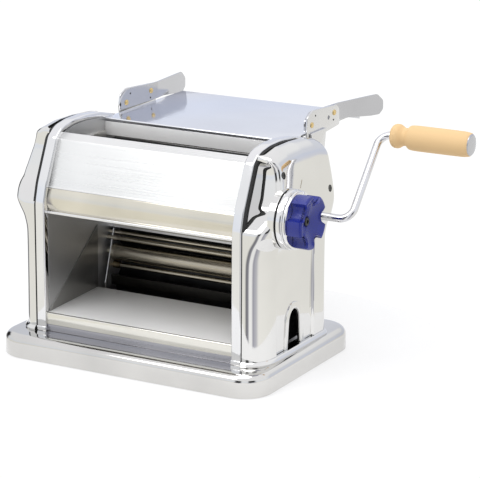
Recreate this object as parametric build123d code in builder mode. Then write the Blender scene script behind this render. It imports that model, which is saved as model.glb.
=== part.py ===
from build123d import *
import os
from math import acos, cos, hypot, pi, radians, sin, tan

os.makedirs("parts", exist_ok=True)

# ---------------------------------------------------------------------------
# Driving dimensions, millimetres.  +X crank side, -Y front, +Z up.
# Origin: centre of the working width, on the plane the rubber edging stands on.
# ---------------------------------------------------------------------------
inner_half = 110          # inner faces of the side frames: 220 mm between them
frame_thickness = 4
frame_outer = inner_half + frame_thickness
trim_outer = 121          # outer face of the trim bands
casing_inner = 121.5      # open inner edge of the side casings
sheet = 1.5               # covers, chute and tray
casing_wall = 2.5

base_bottom, base_top = 0.6, 24
base_front, base_rear, base_half = -111, 107, 155.5
base_corner, base_roll, base_wall = 32, 8, 2

body_front, body_rear = -82, 62
casing_half, bulge_half = 143.5, 153.5

drive_y, drive_z = 11, 162.5      # rear roller and crank
knob_y, knob_z = -43, 170.5       # gap knob and its shaft
roller_radius = 23
roller_left, roller_right = -103.2, 109
closed_gap = 0.2
gap_travel = 4.5
knob_travel = radians(270)

run_clearance = 0.05              # radial clearance of every running fit

# Direction in the YZ plane from the rear roller to the knob: the blocks slide along it.
centre_span = hypot(knob_y - drive_y, knob_z - drive_z)
slide_y, slide_z = (knob_y - drive_y) / centre_span, (knob_z - drive_z) / centre_span
closed_distance = 2 * roller_radius + closed_gap
front_y = drive_y + closed_distance * slide_y
front_z = drive_z + closed_distance * slide_z
knob_offset = centre_span - closed_distance     # knob shaft ahead of the front roller

crank_radius, crank_lean = 100, 41.5            # arm length; degrees back from upright
crank_x, rod_radius, crank_bend = 194, 4, 12
grip_start, grip_end = 206.8, 293.5

named = {}


def keep(name, part):
    """Label one finished piece and remember it for the export at the end."""
    part.label = name
    named[name] = part


def rod(x_start, x_end, y, z, radius, mode=Mode.ADD):
    """A round bar along X, added to the part being built."""
    with Locations(Location(((x_start + x_end) / 2, y, z), (0, 90, 0))):
        Cylinder(radius, x_end - x_start, mode=mode)


def slab(x_range, y_range, z_range, mode=Mode.ADD):
    """A block between two corners, added to the part being built."""
    spans = (x_range, y_range, z_range)
    with Locations([tuple((low + high) / 2 for low, high in spans)]):
        Box(*(high - low for low, high in spans), mode=mode)


def along_slide(distance, across=0):
    """A point (y, z) so far ahead of the closed front roller, and so far above that line."""
    return (front_y + distance * slide_y + across * slide_z,
            front_z + distance * slide_z - across * slide_y)


def slide_plane(x):
    """A YZ plane at x, on the closed front roller, whose own X runs towards the knob."""
    return Plane(origin=(x, front_y, front_z), x_dir=(0, slide_y, slide_z), z_dir=(1, 0, 0))


# Side profile shared by frames, trim bands and covers, as (y, z).
trim_profile = [(body_front, base_top), (body_front, 162), (-76.5, 181), (-57, 225), (-45, 234.5),
                (-24, 238.2), (0, 238.8), (28, 236.4), (body_rear, 228), (body_rear, base_top)]
trim_radii = [30, 60, 8, 30, 60, 60, 60]      # of its rounded points, front to rear
frame_profile = [(-74.5, base_top), (-74.5, 160), (-69, 179), (-51, 219), (-42, 228),
                 (-24, 232), (0, 232.6), (28, 230.4), (58, 223), (104, 223),
                 (104, 190), (90, 184), (58, 178), (58, base_top)]

# ---------------------------------------------------------------------------
# Base
# ---------------------------------------------------------------------------
with BuildPart() as base_plate:
    with BuildSketch(Plane.XY.offset(base_bottom)):
        with Locations((0, (base_front + base_rear) / 2)):
            RectangleRounded(2 * base_half, base_rear - base_front, base_corner)
    extrude(amount=base_top - base_bottom)
    fillet(base_plate.faces().sort_by(Axis.Z)[-1].edges(), radius=base_roll)
    with BuildSketch(Plane.XY.offset(base_bottom)):
        with Locations((0, (base_front + base_rear) / 2)):
            RectangleRounded(2 * (base_half - base_wall), base_rear - base_front - 2 * base_wall,
                             base_corner - base_wall)
    extrude(amount=base_top - base_bottom - base_roll, mode=Mode.SUBTRACT)
    with BuildSketch(Plane.XY.offset(base_top - base_roll)):
        with Locations((0, (base_front + base_rear) / 2)):
            RectangleRounded(2 * (base_half - base_roll), base_rear - base_front - 2 * base_roll,
                             base_corner - base_roll)
    extrude(amount=base_roll - base_wall, mode=Mode.SUBTRACT)
keep("base_plate", base_plate.part)

edging_width, edging_height = 5, 8
with BuildPart() as rubber_edging:
    with BuildSketch(Plane.XY):
        for inset, mode in ((base_wall, Mode.ADD), (base_wall + edging_width, Mode.SUBTRACT)):
            with Locations((0, (base_front + base_rear) / 2)):
                RectangleRounded(2 * (base_half - inset), base_rear - base_front - 2 * inset,
                                 base_corner - inset, mode=mode)
    extrude(amount=edging_height)
keep("rubber_edging", rubber_edging.part)

# ---------------------------------------------------------------------------
# Side frames: steel plates with windows for the sliding blocks and a rear ear
# ---------------------------------------------------------------------------
block_half, window_rear, window_front = 22, 26, 27.5
bush_radius, bush_flange = 12, 15
shaft_radius = 8
arch_y, arch_half, arch_top = -8, 13.5, 67.5

with BuildPart() as frame_blank:
    with BuildSketch(Plane.YZ.offset(inner_half)):
        with BuildLine():
            Polyline(*frame_profile, close=True)
        make_face()
        with Locations((drive_y, drive_z)):
            Circle(bush_radius, mode=Mode.SUBTRACT)
    extrude(amount=frame_thickness)
    with BuildSketch(slide_plane(inner_half)):
        with Locations(((window_front - window_rear) / 2, 0)):
            Rectangle(window_front + window_rear, 2 * block_half + 2 * run_clearance)
    extrude(amount=frame_thickness, mode=Mode.SUBTRACT)
with BuildPart() as right_side_frame:
    add(frame_blank.part)
with BuildPart() as left_side_frame:
    mirror(frame_blank.part, about=Plane.YZ)
keep("right_side_frame", right_side_frame.part)
keep("left_side_frame", left_side_frame.part)

# ---------------------------------------------------------------------------
# Trim bands: the bright border that runs up the front and over the top
# ---------------------------------------------------------------------------
band_inner = [(-74.5, base_top), (-74.5, 160), (-69, 179), (-51, 219), (-42, 228),
              (-24, 232), (0, 232.6), (28, 230.4), (58, 223.2), (body_rear, 223.2)]
with BuildPart() as band_blank:
    with BuildSketch(Plane.YZ.offset(inner_half)):
        with BuildLine():
            FilletPolyline(*trim_profile[:-1], radius=trim_radii)
            Polyline(*band_inner)
            Line(trim_profile[0], band_inner[0])
            Line(trim_profile[-2], band_inner[-1])
        make_face()
    extrude(amount=trim_outer - inner_half)
with BuildPart() as right_trim_band:
    add(band_blank.part)
with BuildPart() as left_trim_band:
    mirror(band_blank.part, about=Plane.YZ)
keep("right_trim_band", right_trim_band.part)
keep("left_trim_band", left_trim_band.part)

# ---------------------------------------------------------------------------
# Side casings: hollow shells, open towards the frames
# ---------------------------------------------------------------------------
casing_side = [(-81.5, base_top + 4), (-81.5, 160), (-78, 168), (-69, 175), (-61, 181), (-56, 190),
               (-49, 210), (-48, 220), (-52.5, 226), (-52, 232), (-24, 236.5), (4, 237),
               (34, 235), (56, 230), (body_rear, 222), (body_rear, base_top + 4)]
casing_end = [(casing_inner, base_top + 4), (casing_half + 0.5, base_top + 4), (casing_half, 126),
              (casing_half + 2, 142), (bulge_half - 3, 155), (bulge_half, 171), (bulge_half - 2, 184),
              (bulge_half - 9, 216), (bulge_half - 13, 227), (bulge_half - 21, 234),
              (casing_inner, 236.5)]


def casing_solid(x_start, shrink):
    """The casing's full form, or the cavity inside it when shrink is its wall thickness."""
    with BuildPart() as form:
        with BuildSketch(Plane.YZ.offset(x_start)):
            with BuildLine():
                Polyline(*casing_side, close=True)
            make_face()
            if shrink:
                offset(amount=-shrink, kind=Kind.INTERSECTION, mode=Mode.REPLACE)
                with Locations(((body_front + body_rear) / 2, base_top + shrink)):
                    Rectangle(body_rear - body_front - 2 * shrink, 2 * shrink + 8)
        extrude(amount=bulge_half - x_start)
        with BuildSketch(Plane.XZ.offset(-body_rear)):
            with BuildLine():
                Polyline((x_start, base_top - shrink),
                         *[(x - shrink, z - shrink * (z > base_top + 4)) for x, z in casing_end[1:-1]],
                         (x_start, 236.5 - shrink), close=True)
            make_face()
        extrude(amount=body_rear - body_front, mode=Mode.INTERSECT)
    return form.part


casing_outer_form = casing_solid(casing_inner, 0)
casing_cavity = casing_solid(casing_inner, casing_wall)
collar_radius, boss_radius = 30.3, 7

with BuildPart() as casing_blank:
    add(casing_outer_form)
    fillet(casing_blank.edges().filter_by(Axis.Z).sort_by(Axis.X)[-2:], radius=9)
    add(casing_cavity, mode=Mode.SUBTRACT)
    with BuildSketch(Plane.XY.offset(base_top)):
        with BuildLine():
            FilletPolyline((casing_inner, -84), (casing_half + 3, -84), (casing_half + 3, 64.5),
                           (casing_inner, 64.5), radius=9)
            FilletPolyline((casing_inner, -77), (casing_half - 4, -77), (casing_half - 4, 57.5),
                           (casing_inner, 57.5), radius=6)
            Line((casing_inner, -84), (casing_inner, -77))
            Line((casing_inner, 64.5), (casing_inner, 57.5))
        make_face()
    extrude(amount=4.5)
    # recessed panel under the knob
    slab((casing_half - 0.8, casing_half + 4), (-47, 32), (base_top + 6, 128), mode=Mode.SUBTRACT)
    # raised lip and clamp arch
    with BuildSketch(Plane.YZ.offset(casing_half - casing_wall)):
        with Locations((arch_y, base_top + 16)):
            Rectangle(2 * arch_half + 18, 32)
        with Locations((arch_y, base_top + 32)):
            Circle(arch_half + 9)
    extrude(amount=casing_wall + 1.5)
    with BuildSketch(Plane.YZ.offset(casing_inner)):
        with Locations((arch_y, (base_top + arch_top - arch_half) / 2)):
            Rectangle(2 * arch_half, arch_top - arch_half - base_top)
        with Locations((arch_y, arch_top - arch_half)):
            Circle(arch_half)
    extrude(amount=bulge_half - casing_inner, mode=Mode.SUBTRACT)
# Casing screws: heads sunk in the casings, two a side, as (y, z, x of the head's seat)
screw_places = [(-41, 213, 143.7), (48, 182, 150.4)]
with BuildPart() as casing_screws:
    for y, z, seat in screw_places:
        rod(frame_outer, seat, y, z, 2)
        rod(seat, seat + 1.3, y, z, 3.5)
    mirror(about=Plane.YZ)
keep("casing_screws", casing_screws.part)

with BuildPart() as screw_holes:
    for y, z, seat in screw_places:
        rod(casing_inner, bulge_half + 1, y, z, 2.3)
        rod(seat, bulge_half + 1, y, z, 3.8)
    mirror(about=Plane.YZ)
with BuildPart() as right_casing:
    add(casing_blank.part)
    add(screw_holes.part, mode=Mode.SUBTRACT)
    rod(casing_inner, bulge_half + 1, drive_y, drive_z, shaft_radius + 0.6, mode=Mode.SUBTRACT)
    rod(casing_inner, bulge_half + 1, knob_y, knob_z, 9, mode=Mode.SUBTRACT)
with BuildPart() as left_casing:
    mirror(casing_blank.part, about=Plane.YZ)
    add(screw_holes.part, mode=Mode.SUBTRACT)
keep("right_casing", right_casing.part)
keep("left_casing", left_casing.part)

# ---------------------------------------------------------------------------
# Front covers
# ---------------------------------------------------------------------------
with BuildPart() as front_cover:
    with BuildSketch(Plane.YZ.offset(-inner_half)):
        with BuildLine():
            Polyline((-42.5, 228.3), (-52.3, 223.3), (-72.6, 176.2), (-71.1, 175.6),
                     (-51.1, 222.1), (-41.6, 226.8), close=True)
        make_face()
    extrude(amount=2 * inner_half)
keep("front_cover", front_cover.part)

with BuildPart() as lower_guard:
    with BuildSketch(Plane.YZ.offset(-inner_half)):
        with BuildLine():
            ThreePointArc((-72.6, 175.8), (-76.4, 163), (-74.4, 149.3))
            Line((-74.4, 149.3), (-68.5, 150.4))
            Line((-68.5, 150.4), (-68.8, 151.9))
            Line((-68.8, 151.9), (-72.9, 151.2))
            ThreePointArc((-72.9, 151.2), (-74.8, 163), (-71.2, 175.2))
            Line((-71.2, 175.2), (-72.6, 175.8))
        make_face()
    extrude(amount=2 * inner_half)
keep("lower_guard", lower_guard.part)

with BuildPart() as rear_cover:
    with BuildSketch(Plane.YZ.offset(-inner_half)):
        with BuildLine():
            Polyline((58, base_top), (58, 205), (50, 221), (42, 224), (41.5, 222.6), (49, 219.8),
                     (56.5, 204.6), (56.5, base_top), close=True)
        make_face()
    extrude(amount=2 * inner_half)
keep("rear_cover", rear_cover.part)

sill_top = 31.5
with BuildPart() as front_sill:
    slab((-inner_half, inner_half), (-79.5, -72), (base_top, sill_top))
keep("front_sill", front_sill.part)

chute_front, chute_rear, chute_z, chute_rise = -80, 18, 44, 3
with BuildPart() as chute:
    with BuildSketch(Plane.YZ.offset(-inner_half)):
        with BuildLine():
            Polyline((chute_front, sill_top), (chute_front, chute_z), (chute_rear, chute_z + chute_rise),
                     (chute_rear + 3, chute_z - 6), (chute_rear + 1.5, chute_z - 6.4),
                     (chute_rear - 1.2, chute_z + chute_rise - 1.6),
                     (chute_front + sheet, chute_z - sheet), (chute_front + sheet, sill_top), close=True)
        make_face()
    extrude(amount=2 * inner_half)
    with BuildSketch(Plane.YZ.offset(-inner_half)):
        with BuildLine():
            Polyline((chute_front + 3, chute_z), (chute_rear, 116), (chute_rear, chute_z + 2),
                     close=True)
        make_face()
    extrude(amount=1)
    with BuildSketch(Plane.YZ.offset(inner_half - 1)):
        with BuildLine():
            Polyline((chute_front + 3, chute_z), (chute_rear, 116), (chute_rear, chute_z + 2),
                     close=True)
        make_face()
    extrude(amount=1)
keep("chute", chute.part)

# ---------------------------------------------------------------------------
# Feed tray, hopper cheeks, guides
# ---------------------------------------------------------------------------
tray_z, tray_front, tray_rear = 229, 36, 201
with BuildPart() as feed_tray:
    slab((-inner_half, inner_half), (tray_front, tray_rear), (tray_z - sheet, tray_z))
    slab((-inner_half, inner_half), (tray_front, tray_front + sheet), (210.5, tray_z))
    slab((-inner_half, inner_half), (tray_rear - sheet, tray_rear), (tray_z - 8, tray_z))
    with BuildSketch(Plane.XZ.offset(-tray_front - sheet)):
        with Locations((-inner_half, 210.5), (inner_half, 210.5)):
            Rectangle(8, 16, rotation=28)
    extrude(amount=sheet, mode=Mode.SUBTRACT)
keep("feed_tray", feed_tray.part)

with BuildPart() as right_hopper_cheek:
    with BuildSketch(Plane.YZ.offset(106.5)):
        with BuildLine():
            Polyline((-38, 216), (33, 216), (33, 198), (-38, 198), close=True)
        make_face()
    extrude(amount=inner_half - 106.5)
with BuildPart() as left_hopper_cheek:
    mirror(right_hopper_cheek.part, about=Plane.YZ)
keep("right_hopper_cheek", right_hopper_cheek.part)
keep("left_hopper_cheek", left_hopper_cheek.part)

wing_thickness = 2
wing_side = [(69, 231.5), (69, 243), (81, 251), (131, 249), (214, 246), (226, 240), (227, 229),
             (222, 223.5), (204, 224.5), (160, 230.2)]
wing_plan = [(inner_half, 60), (inner_half, 145), (inner_half + 13, 228),
             (inner_half + 13 + wing_thickness, 228), (inner_half + wing_thickness, 145),
             (inner_half + wing_thickness, 60)]
guide_screw_places = [(80, 237), (131, 241)]
with BuildPart() as right_guide_wing:
    with BuildSketch(Plane.YZ.offset(inner_half - 2)):
        with BuildLine():
            Polyline(*wing_side, close=True)
        make_face()
    extrude(amount=20)
    with BuildSketch(Plane.XY.offset(200)):
        with BuildLine():
            Polyline(*wing_plan, close=True)
        make_face()
    extrude(amount=60, mode=Mode.INTERSECT)
    for y, z in guide_screw_places:
        rod(inner_half - 1, frame_outer, y, z, 2, mode=Mode.SUBTRACT)
    rod(inner_half - 1, frame_outer, 118, 238, 1.8, mode=Mode.SUBTRACT)
with BuildPart() as left_guide_wing:
    mirror(right_guide_wing.part, about=Plane.YZ)
keep("right_guide_wing", right_guide_wing.part)
keep("left_guide_wing", left_guide_wing.part)

bracket_side = [(70, 223.2), (69, 236), (71, 246), (83, 252), (136, 248.5), (142, 244), (144, 226),
                (110, 223.2)]
bracket_leg = [(76, 229), (110, 229), (106, 208), (103, 192), (76, 192)]
with BuildPart() as right_guide_bracket:
    with BuildSketch(Plane.YZ.offset(inner_half + wing_thickness)):
        with BuildLine():
            Polyline(*bracket_side, close=True)
        make_face()
    extrude(amount=frame_thickness - wing_thickness)
    with BuildSketch(Plane.YZ.offset(frame_outer)):
        with BuildLine():
            Polyline(*bracket_leg, close=True)
        make_face()
    extrude(amount=2)
    for y, z in guide_screw_places:
        rod(inner_half, frame_outer + 3, y, z, 2, mode=Mode.SUBTRACT)
    rod(inner_half, frame_outer + 3, 118, 238, 2.4, mode=Mode.SUBTRACT)
with BuildPart() as left_guide_bracket:
    mirror(right_guide_bracket.part, about=Plane.YZ)
keep("right_guide_bracket", right_guide_bracket.part)
keep("left_guide_bracket", left_guide_bracket.part)

with BuildPart() as guide_screws:
    for y, z in guide_screw_places:
        rod(inner_half - 1.4, frame_outer, y, z, 2)
        rod(inner_half - 1.4, inner_half, y, z, 3)
        rod(frame_outer, frame_outer + 1.4, y, z, 2.8)
    mirror(about=Plane.YZ)
keep("guide_screws", guide_screws.part)

with BuildPart() as bracket_screws:
    for y in (83, 96):
        rod(frame_outer + 2, frame_outer + 4.5, y, 200, 4)
    mirror(about=Plane.YZ)
keep("bracket_screws", bracket_screws.part)

# ---------------------------------------------------------------------------
# Cross members seen through the opening
# ---------------------------------------------------------------------------
bracket_plate = 104       # inner faces of the two brackets that carry the cross members
rod_places = [(44, 81, 4), (46, 102, 2.5), (41, 97, 2.5), (42, 67, 2.5)]

with BuildPart() as inner_brackets:
    with BuildSketch(Plane.YZ.offset(bracket_plate)):
        with BuildLine():
            Polyline((25, 50), (43, 107), (56.5, 107), (56.5, 60), (40, 44), (25, 44), close=True)
        make_face()
        for y, z, radius in rod_places:
            with Locations((y, z)):
                Circle(radius + 0.3, mode=Mode.SUBTRACT)
    extrude(amount=1.5)
    slab((bracket_plate, inner_half), (53, 56.5), (64, 107))
    mirror(about=Plane.YZ)
keep("inner_brackets", inner_brackets.part)

with BuildPart() as spacer_tube:
    rod(-bracket_plate, bracket_plate, 44, 81, 9.5)
    rod(-bracket_plate, bracket_plate, 44, 81, 4.3, mode=Mode.SUBTRACT)
keep("spacer_tube", spacer_tube.part)

with BuildPart() as tie_rods:
    for y, z, radius in rod_places:
        rod(-inner_half, inner_half, y, z, radius)
keep("tie_rods", tie_rods.part)

with BuildPart() as rod_bushes:
    for side in (-1, 1):
        low, high = sorted((side * (bracket_plate - 8), side * bracket_plate))
        rod(low, high, 42, 67, 3.8)
        rod(low, high, 42, 67, 2.8, mode=Mode.SUBTRACT)
keep("rod_bushes", rod_bushes.part)

with BuildPart() as rod_nuts:
    with BuildSketch(Plane.YZ.offset(frame_outer)):
        with Locations([(y, z) for y, z, _ in rod_places]):
            RegularPolygon(3.4, 6)
    extrude(amount=3)
    mirror(about=Plane.YZ)
keep("rod_nuts", rod_nuts.part)

with BuildPart() as rear_rail:
    slab((-bracket_plate, bracket_plate), (36, 39), (46, 57))
keep("rear_rail", rear_rail.part)

with BuildPart() as rear_scraper:
    with BuildSketch(Plane.YZ.offset(-100)):
        with BuildLine():
            Polyline((19.6, 140.2), (38, 112), (50, 112), (50, 113.5), (38.9, 113.5),
                     (20.8, 141.0), close=True)
        make_face()
    extrude(amount=206)
keep("rear_scraper", rear_scraper.part)

with BuildPart() as scraper_rail:
    slab((-inner_half, inner_half), (44, 56.5), (108, 112))
keep("scraper_rail", scraper_rail.part)

# ---------------------------------------------------------------------------
# Rear roller, its bushes and the gear pair
# ---------------------------------------------------------------------------
boss_start, boss_end = 154.5, 162
with BuildPart() as rear_roller:
    rod(roller_left, roller_right, drive_y, drive_z, roller_radius)
    rod(-inner_half - 8, boss_start, drive_y, drive_z, shaft_radius)
keep("rear_roller", rear_roller.part)

with BuildPart() as roller_bushes:
    for side in (-1, 1):
        low, high = sorted((side * (inner_half - 0.4), side * (frame_outer + 3)))
        rod(low, high, drive_y, drive_z, bush_radius)
        low, high = sorted((side * frame_outer, side * (frame_outer + 3)))
        rod(low, high, drive_y, drive_z, bush_flange)
    rod(-130, 130, drive_y, drive_z, shaft_radius + run_clearance, mode=Mode.SUBTRACT)
keep("roller_bushes", roller_bushes.part)

gear_teeth, gear_tip, gear_root, gear_pitch = 14, 26.4, 19.0, 23.1
gear_pressure, gear_backlash, gear_neck = radians(16), 0.8, 0.3
gear_low, gear_high = -109.2, -104
journal_radius, journal_bore = 16, 13


def tooth_half_angle(radius):
    """Half the angle one tooth takes at a radius: involute flanks, eased below the base circle."""
    base = gear_pitch * cos(gear_pressure)
    half = pi / gear_teeth / 2 - gear_backlash / 2 / gear_pitch + tan(gear_pressure) - gear_pressure
    if radius <= base:
        return half - gear_neck * (base - radius) / radius
    angle = acos(base / radius)
    return half - (tan(angle) - angle)


def gear_outline(first_tooth):
    """Corner points of a gear about its own centre, one tooth centred at first_tooth radians."""
    base = gear_pitch * cos(gear_pressure)
    radii = [gear_root] + [base + (gear_tip - base) * step / 3 for step in range(4)]
    points = []
    for tooth in range(gear_teeth):
        centre = first_tooth + 2 * pi * tooth / gear_teeth
        flank = [(radius, tooth_half_angle(radius)) for radius in radii]
        for radius, half in flank:
            points.append((radius * cos(centre - half), radius * sin(centre - half)))
        for radius, half in reversed(flank):
            points.append((radius * cos(centre + half), radius * sin(centre + half)))
    return points


def gear_blank(y, z, bore, first_tooth):
    """A spur gear on an axis along X; its angles are counted from the slide direction."""
    plane = Plane(origin=(gear_low, y, z), x_dir=(0, slide_y, slide_z), z_dir=(1, 0, 0))
    with BuildPart() as gear:
        with BuildSketch(plane):
            with BuildLine():
                Polyline(*gear_outline(first_tooth), close=True)
            make_face()
            Circle(bore, mode=Mode.SUBTRACT)
        extrude(amount=gear_high - gear_low)
    return gear.part


keep("rear_roller_gear", gear_blank(drive_y, drive_z, shaft_radius, 0))
keep("front_roller_gear", gear_blank(front_y, front_z, journal_radius, pi + pi / gear_teeth))

with BuildPart() as front_roller:
    rod(roller_left, roller_right, front_y, front_z, roller_radius)
    rod(-frame_outer, frame_outer, front_y, front_z, journal_radius)
    rod(-frame_outer, frame_outer, front_y, front_z, journal_bore, mode=Mode.SUBTRACT)
keep("front_roller", front_roller.part)

# ---------------------------------------------------------------------------
# Gap adjustment: sliding blocks, pins, cams, shaft and its bearing plates
# ---------------------------------------------------------------------------
cam_large, pin_radius = 11, 2
adjuster_radius, web_start, web_end = 4, frame_outer + 0.4, frame_outer + 3
cam_start, cam_end = web_end + 0.4, web_end + 3.9
pin_place = knob_offset - (cam_large + pin_radius + run_clearance)

with BuildPart() as right_bearing_block:
    with BuildSketch(slide_plane(inner_half - 0.4)):
        Rectangle(2 * block_half, 2 * block_half)
    extrude(amount=web_end - inner_half + 0.4)
    with BuildSketch(slide_plane(inner_half - 0.4)):
        Circle(journal_radius + run_clearance)
    extrude(amount=web_start - inner_half + 0.4, mode=Mode.SUBTRACT)
    slot_rear = knob_offset - gap_travel - adjuster_radius - 0.5
    slot_front = knob_offset + adjuster_radius + 0.5
    with BuildSketch(slide_plane(web_start)):
        with Locations(((slot_rear + slot_front) / 2, 0)):
            SlotOverall(slot_front - slot_rear, 2 * adjuster_radius + 1)
        with Locations((pin_place, 0)):
            Circle(pin_radius)
    extrude(amount=web_end - web_start, mode=Mode.SUBTRACT)
with BuildPart() as left_bearing_block:
    mirror(right_bearing_block.part, about=Plane.YZ)
keep("right_bearing_block", right_bearing_block.part)
keep("left_bearing_block", left_bearing_block.part)

pin_y, pin_z = along_slide(pin_place)
with BuildPart() as follower_pins:
    rod(web_start, cam_end, pin_y, pin_z, pin_radius)
    mirror(about=Plane.YZ)
keep("follower_pins", follower_pins.part)


def cam_outline():
    """Snail cam about the shaft: radius falls evenly over the knob's travel, then returns."""
    steps = 36
    lift = [pi - knob_travel * step / steps for step in range(steps + 1)]
    points = []
    for step, angle in enumerate(lift):
        radius = cam_large - gap_travel * step / steps
        points.append((radius * cos(angle), radius * sin(angle)))
    return points


with BuildPart() as adjuster_cams:
    cam_plane = Plane(origin=(cam_start, knob_y, knob_z), x_dir=(0, slide_y, slide_z),
                      z_dir=(1, 0, 0))
    with BuildSketch(cam_plane):
        with BuildLine():
            Polyline(*cam_outline(), close=True)
        make_face()
        Circle(6.4)
        Circle(adjuster_radius, mode=Mode.SUBTRACT)
    extrude(amount=cam_end - cam_start)
    mirror(about=Plane.YZ)
keep("adjuster_cams", adjuster_cams.part)

collar_start, collar_end, ring_end, knob_end = 151.2, 160.2, 164.4, 181
with BuildPart() as adjuster_shaft:
    rod(-128, 171, knob_y, knob_z, adjuster_radius)
keep("adjuster_shaft", adjuster_shaft.part)

plate_start, plate_end = cam_end + 0.6, cam_end + 3.6
with BuildPart() as right_shaft_bearing:
    slab((plate_start, plate_end), (knob_y - 4.5, knob_y + 4.5), (knob_z - 31, knob_z + 31))
    rod(plate_start, plate_end, knob_y, knob_z, 8)
    for offset_z in (-28, 28):
        rod(frame_outer, plate_start, knob_y, knob_z + offset_z, 3)
    rod(plate_start, plate_end, knob_y, knob_z, adjuster_radius + run_clearance,
        mode=Mode.SUBTRACT)
with BuildPart() as left_shaft_bearing:
    mirror(right_shaft_bearing.part, about=Plane.YZ)
keep("right_shaft_bearing", right_shaft_bearing.part)
keep("left_shaft_bearing", left_shaft_bearing.part)

with BuildPart() as block_springs:
    for across in (-15, 15):
        y, z = along_slide(-(window_rear + block_half) / 2, across)
        with Locations(Plane(origin=(inner_half + 2, y, z), z_dir=(0, slide_y, slide_z))):
            Cylinder(1.5, window_rear - block_half)
    mirror(about=Plane.YZ)
keep("block_springs", block_springs.part)

scraper_bar = 21          # ahead of and below the front roller's axis, on the block's corner
with BuildPart() as front_scraper:
    bar_y, bar_z = along_slide(scraper_bar, -scraper_bar)
    rod(0.4 - inner_half, inner_half - 0.4, bar_y, bar_z, 2.5)
    with BuildSketch(slide_plane(-100)):
        with BuildLine():
            Polyline((6.5, -23), (19.5, -20), (19.5, -21.4), (6.5, -24.4), close=True)
        make_face()
    extrude(amount=206)
keep("front_scraper", front_scraper.part)

# ---------------------------------------------------------------------------
# Knob: fixed collar, dial ring, lobed knob, screw, detent
# ---------------------------------------------------------------------------
with BuildPart() as knob_collar:
    rod(collar_start + 2.3, collar_end, knob_y, knob_z, collar_radius)
    rod(collar_start - 6, collar_end, knob_y, knob_z, 8.8)
    rod(collar_start - 6, collar_end, knob_y, knob_z, adjuster_radius + run_clearance,
        mode=Mode.SUBTRACT)
    rod(collar_end - 6.2, collar_end, knob_y, knob_z + 20, 2.1, mode=Mode.SUBTRACT)
keep("knob_collar", knob_collar.part)

with BuildPart() as detent_spring:
    rod(collar_end - 6.2, collar_end - 3.2, knob_y, knob_z + 20, 2)
    rod(collar_end - 6.2, collar_end - 3.2, knob_y, knob_z + 20, 1.4, mode=Mode.SUBTRACT)
keep("detent_spring", detent_spring.part)
with BuildPart() as detent_ball:
    with Locations((collar_end - 1.6, knob_y, knob_z + 20)):
        Sphere(1.6)
keep("detent_ball", detent_ball.part)

with BuildPart() as dial_ring:
    rod(collar_end + 0.3, ring_end, knob_y, knob_z, 29.5)
    rod(collar_end + 0.3, ring_end, knob_y, knob_z, adjuster_radius, mode=Mode.SUBTRACT)
    chamfer(dial_ring.edges().filter_by(GeomType.CIRCLE).sort_by(SortBy.RADIUS)[-2:], length=0.8)
keep("dial_ring", dial_ring.part)

knob_radius, knob_lobes, scallop_radius, scallop_depth, first_scallop = 27.5, 5, 9.6, 8, 4
with BuildPart() as adjusting_knob:
    with BuildSketch(Plane.YZ.offset(ring_end)):
        with Locations((knob_y, knob_z)):
            Circle(knob_radius)
            with PolarLocations(knob_radius + scallop_radius - scallop_depth, knob_lobes,
                                start_angle=first_scallop):
                Circle(scallop_radius, mode=Mode.SUBTRACT)
    extrude(amount=knob_end - ring_end)
    with Locations(Location((knob_end - 4.5, knob_y, knob_z), (0, 90, 0))):
        Cone(9, 21.5, 9.01, mode=Mode.SUBTRACT)
    rod(ring_end, 171, knob_y, knob_z, adjuster_radius, mode=Mode.SUBTRACT)
    rod(171, 173, knob_y, knob_z, 2, mode=Mode.SUBTRACT)
keep("adjusting_knob", adjusting_knob.part)

with BuildPart() as knob_screw:
    rod(171, 172.01, knob_y, knob_z, 2)
    rod(172, 174.2, knob_y, knob_z, 4.2)
    slab((173.2, 174.3), (knob_y - 4.5, knob_y + 4.5), (knob_z - 0.6, knob_z + 0.6),
         mode=Mode.SUBTRACT)
keep("knob_screw", knob_screw.part)

# ---------------------------------------------------------------------------
# Crank and grip
# ---------------------------------------------------------------------------
arm_y = drive_y + crank_radius * sin(radians(crank_lean))
arm_z = drive_z + crank_radius * cos(radians(crank_lean))
cap_seat, cap_radius = grip_end - 4, 11
with BuildPart() as crank_boss:
    rod(boss_start, boss_end, drive_y, drive_z, boss_radius)
    rod(boss_start, boss_end, drive_y, drive_z, rod_radius, mode=Mode.SUBTRACT)
keep("crank_boss", crank_boss.part)

with BuildPart() as crank_rod:
    with BuildLine():
        FilletPolyline((boss_start, drive_y, drive_z), (crank_x, drive_y, drive_z),
                       (crank_x, arm_y, arm_z), (cap_seat, arm_y, arm_z), radius=crank_bend)
    with BuildSketch(Plane(origin=(boss_start, drive_y, drive_z), z_dir=(1, 0, 0))):
        Circle(rod_radius)
    sweep()
keep("crank_rod", crank_rod.part)

grip_bore = rod_radius + run_clearance
grip_plane = Plane(origin=(0, arm_y, arm_z), x_dir=(1, 0, 0), z_dir=(0, -1, 0))
grip_axis = Axis((0, arm_y, arm_z), (1, 0, 0))
with BuildPart() as wooden_grip:
    with BuildSketch(grip_plane):
        with BuildLine():
            Line((grip_start, grip_bore), (grip_start, 7.5))
            Spline((grip_start, 7.5), (grip_start + 1.8, 11), (grip_start + 6.5, 12.4),
                   (grip_start + 11.4, 11), (grip_start + 14.8, 9.3), (grip_start + 18, 10),
                   (grip_start + 22, 12.2), (grip_start + 30, 13))
            Line((grip_start + 30, 13), (grip_end - 9, 12.9))
            Spline((grip_end - 9, 12.9), (grip_end - 3, 12.4), (grip_end - 0.5, cap_radius + 0.1),
                   tangents=((1, 0), (0.3, -1)))
            Polyline((grip_end - 0.5, cap_radius + 0.1), (cap_seat, cap_radius + 0.1),
                     (cap_seat, grip_bore), (grip_start, grip_bore))
        make_face()
    revolve(axis=grip_axis)
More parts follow.
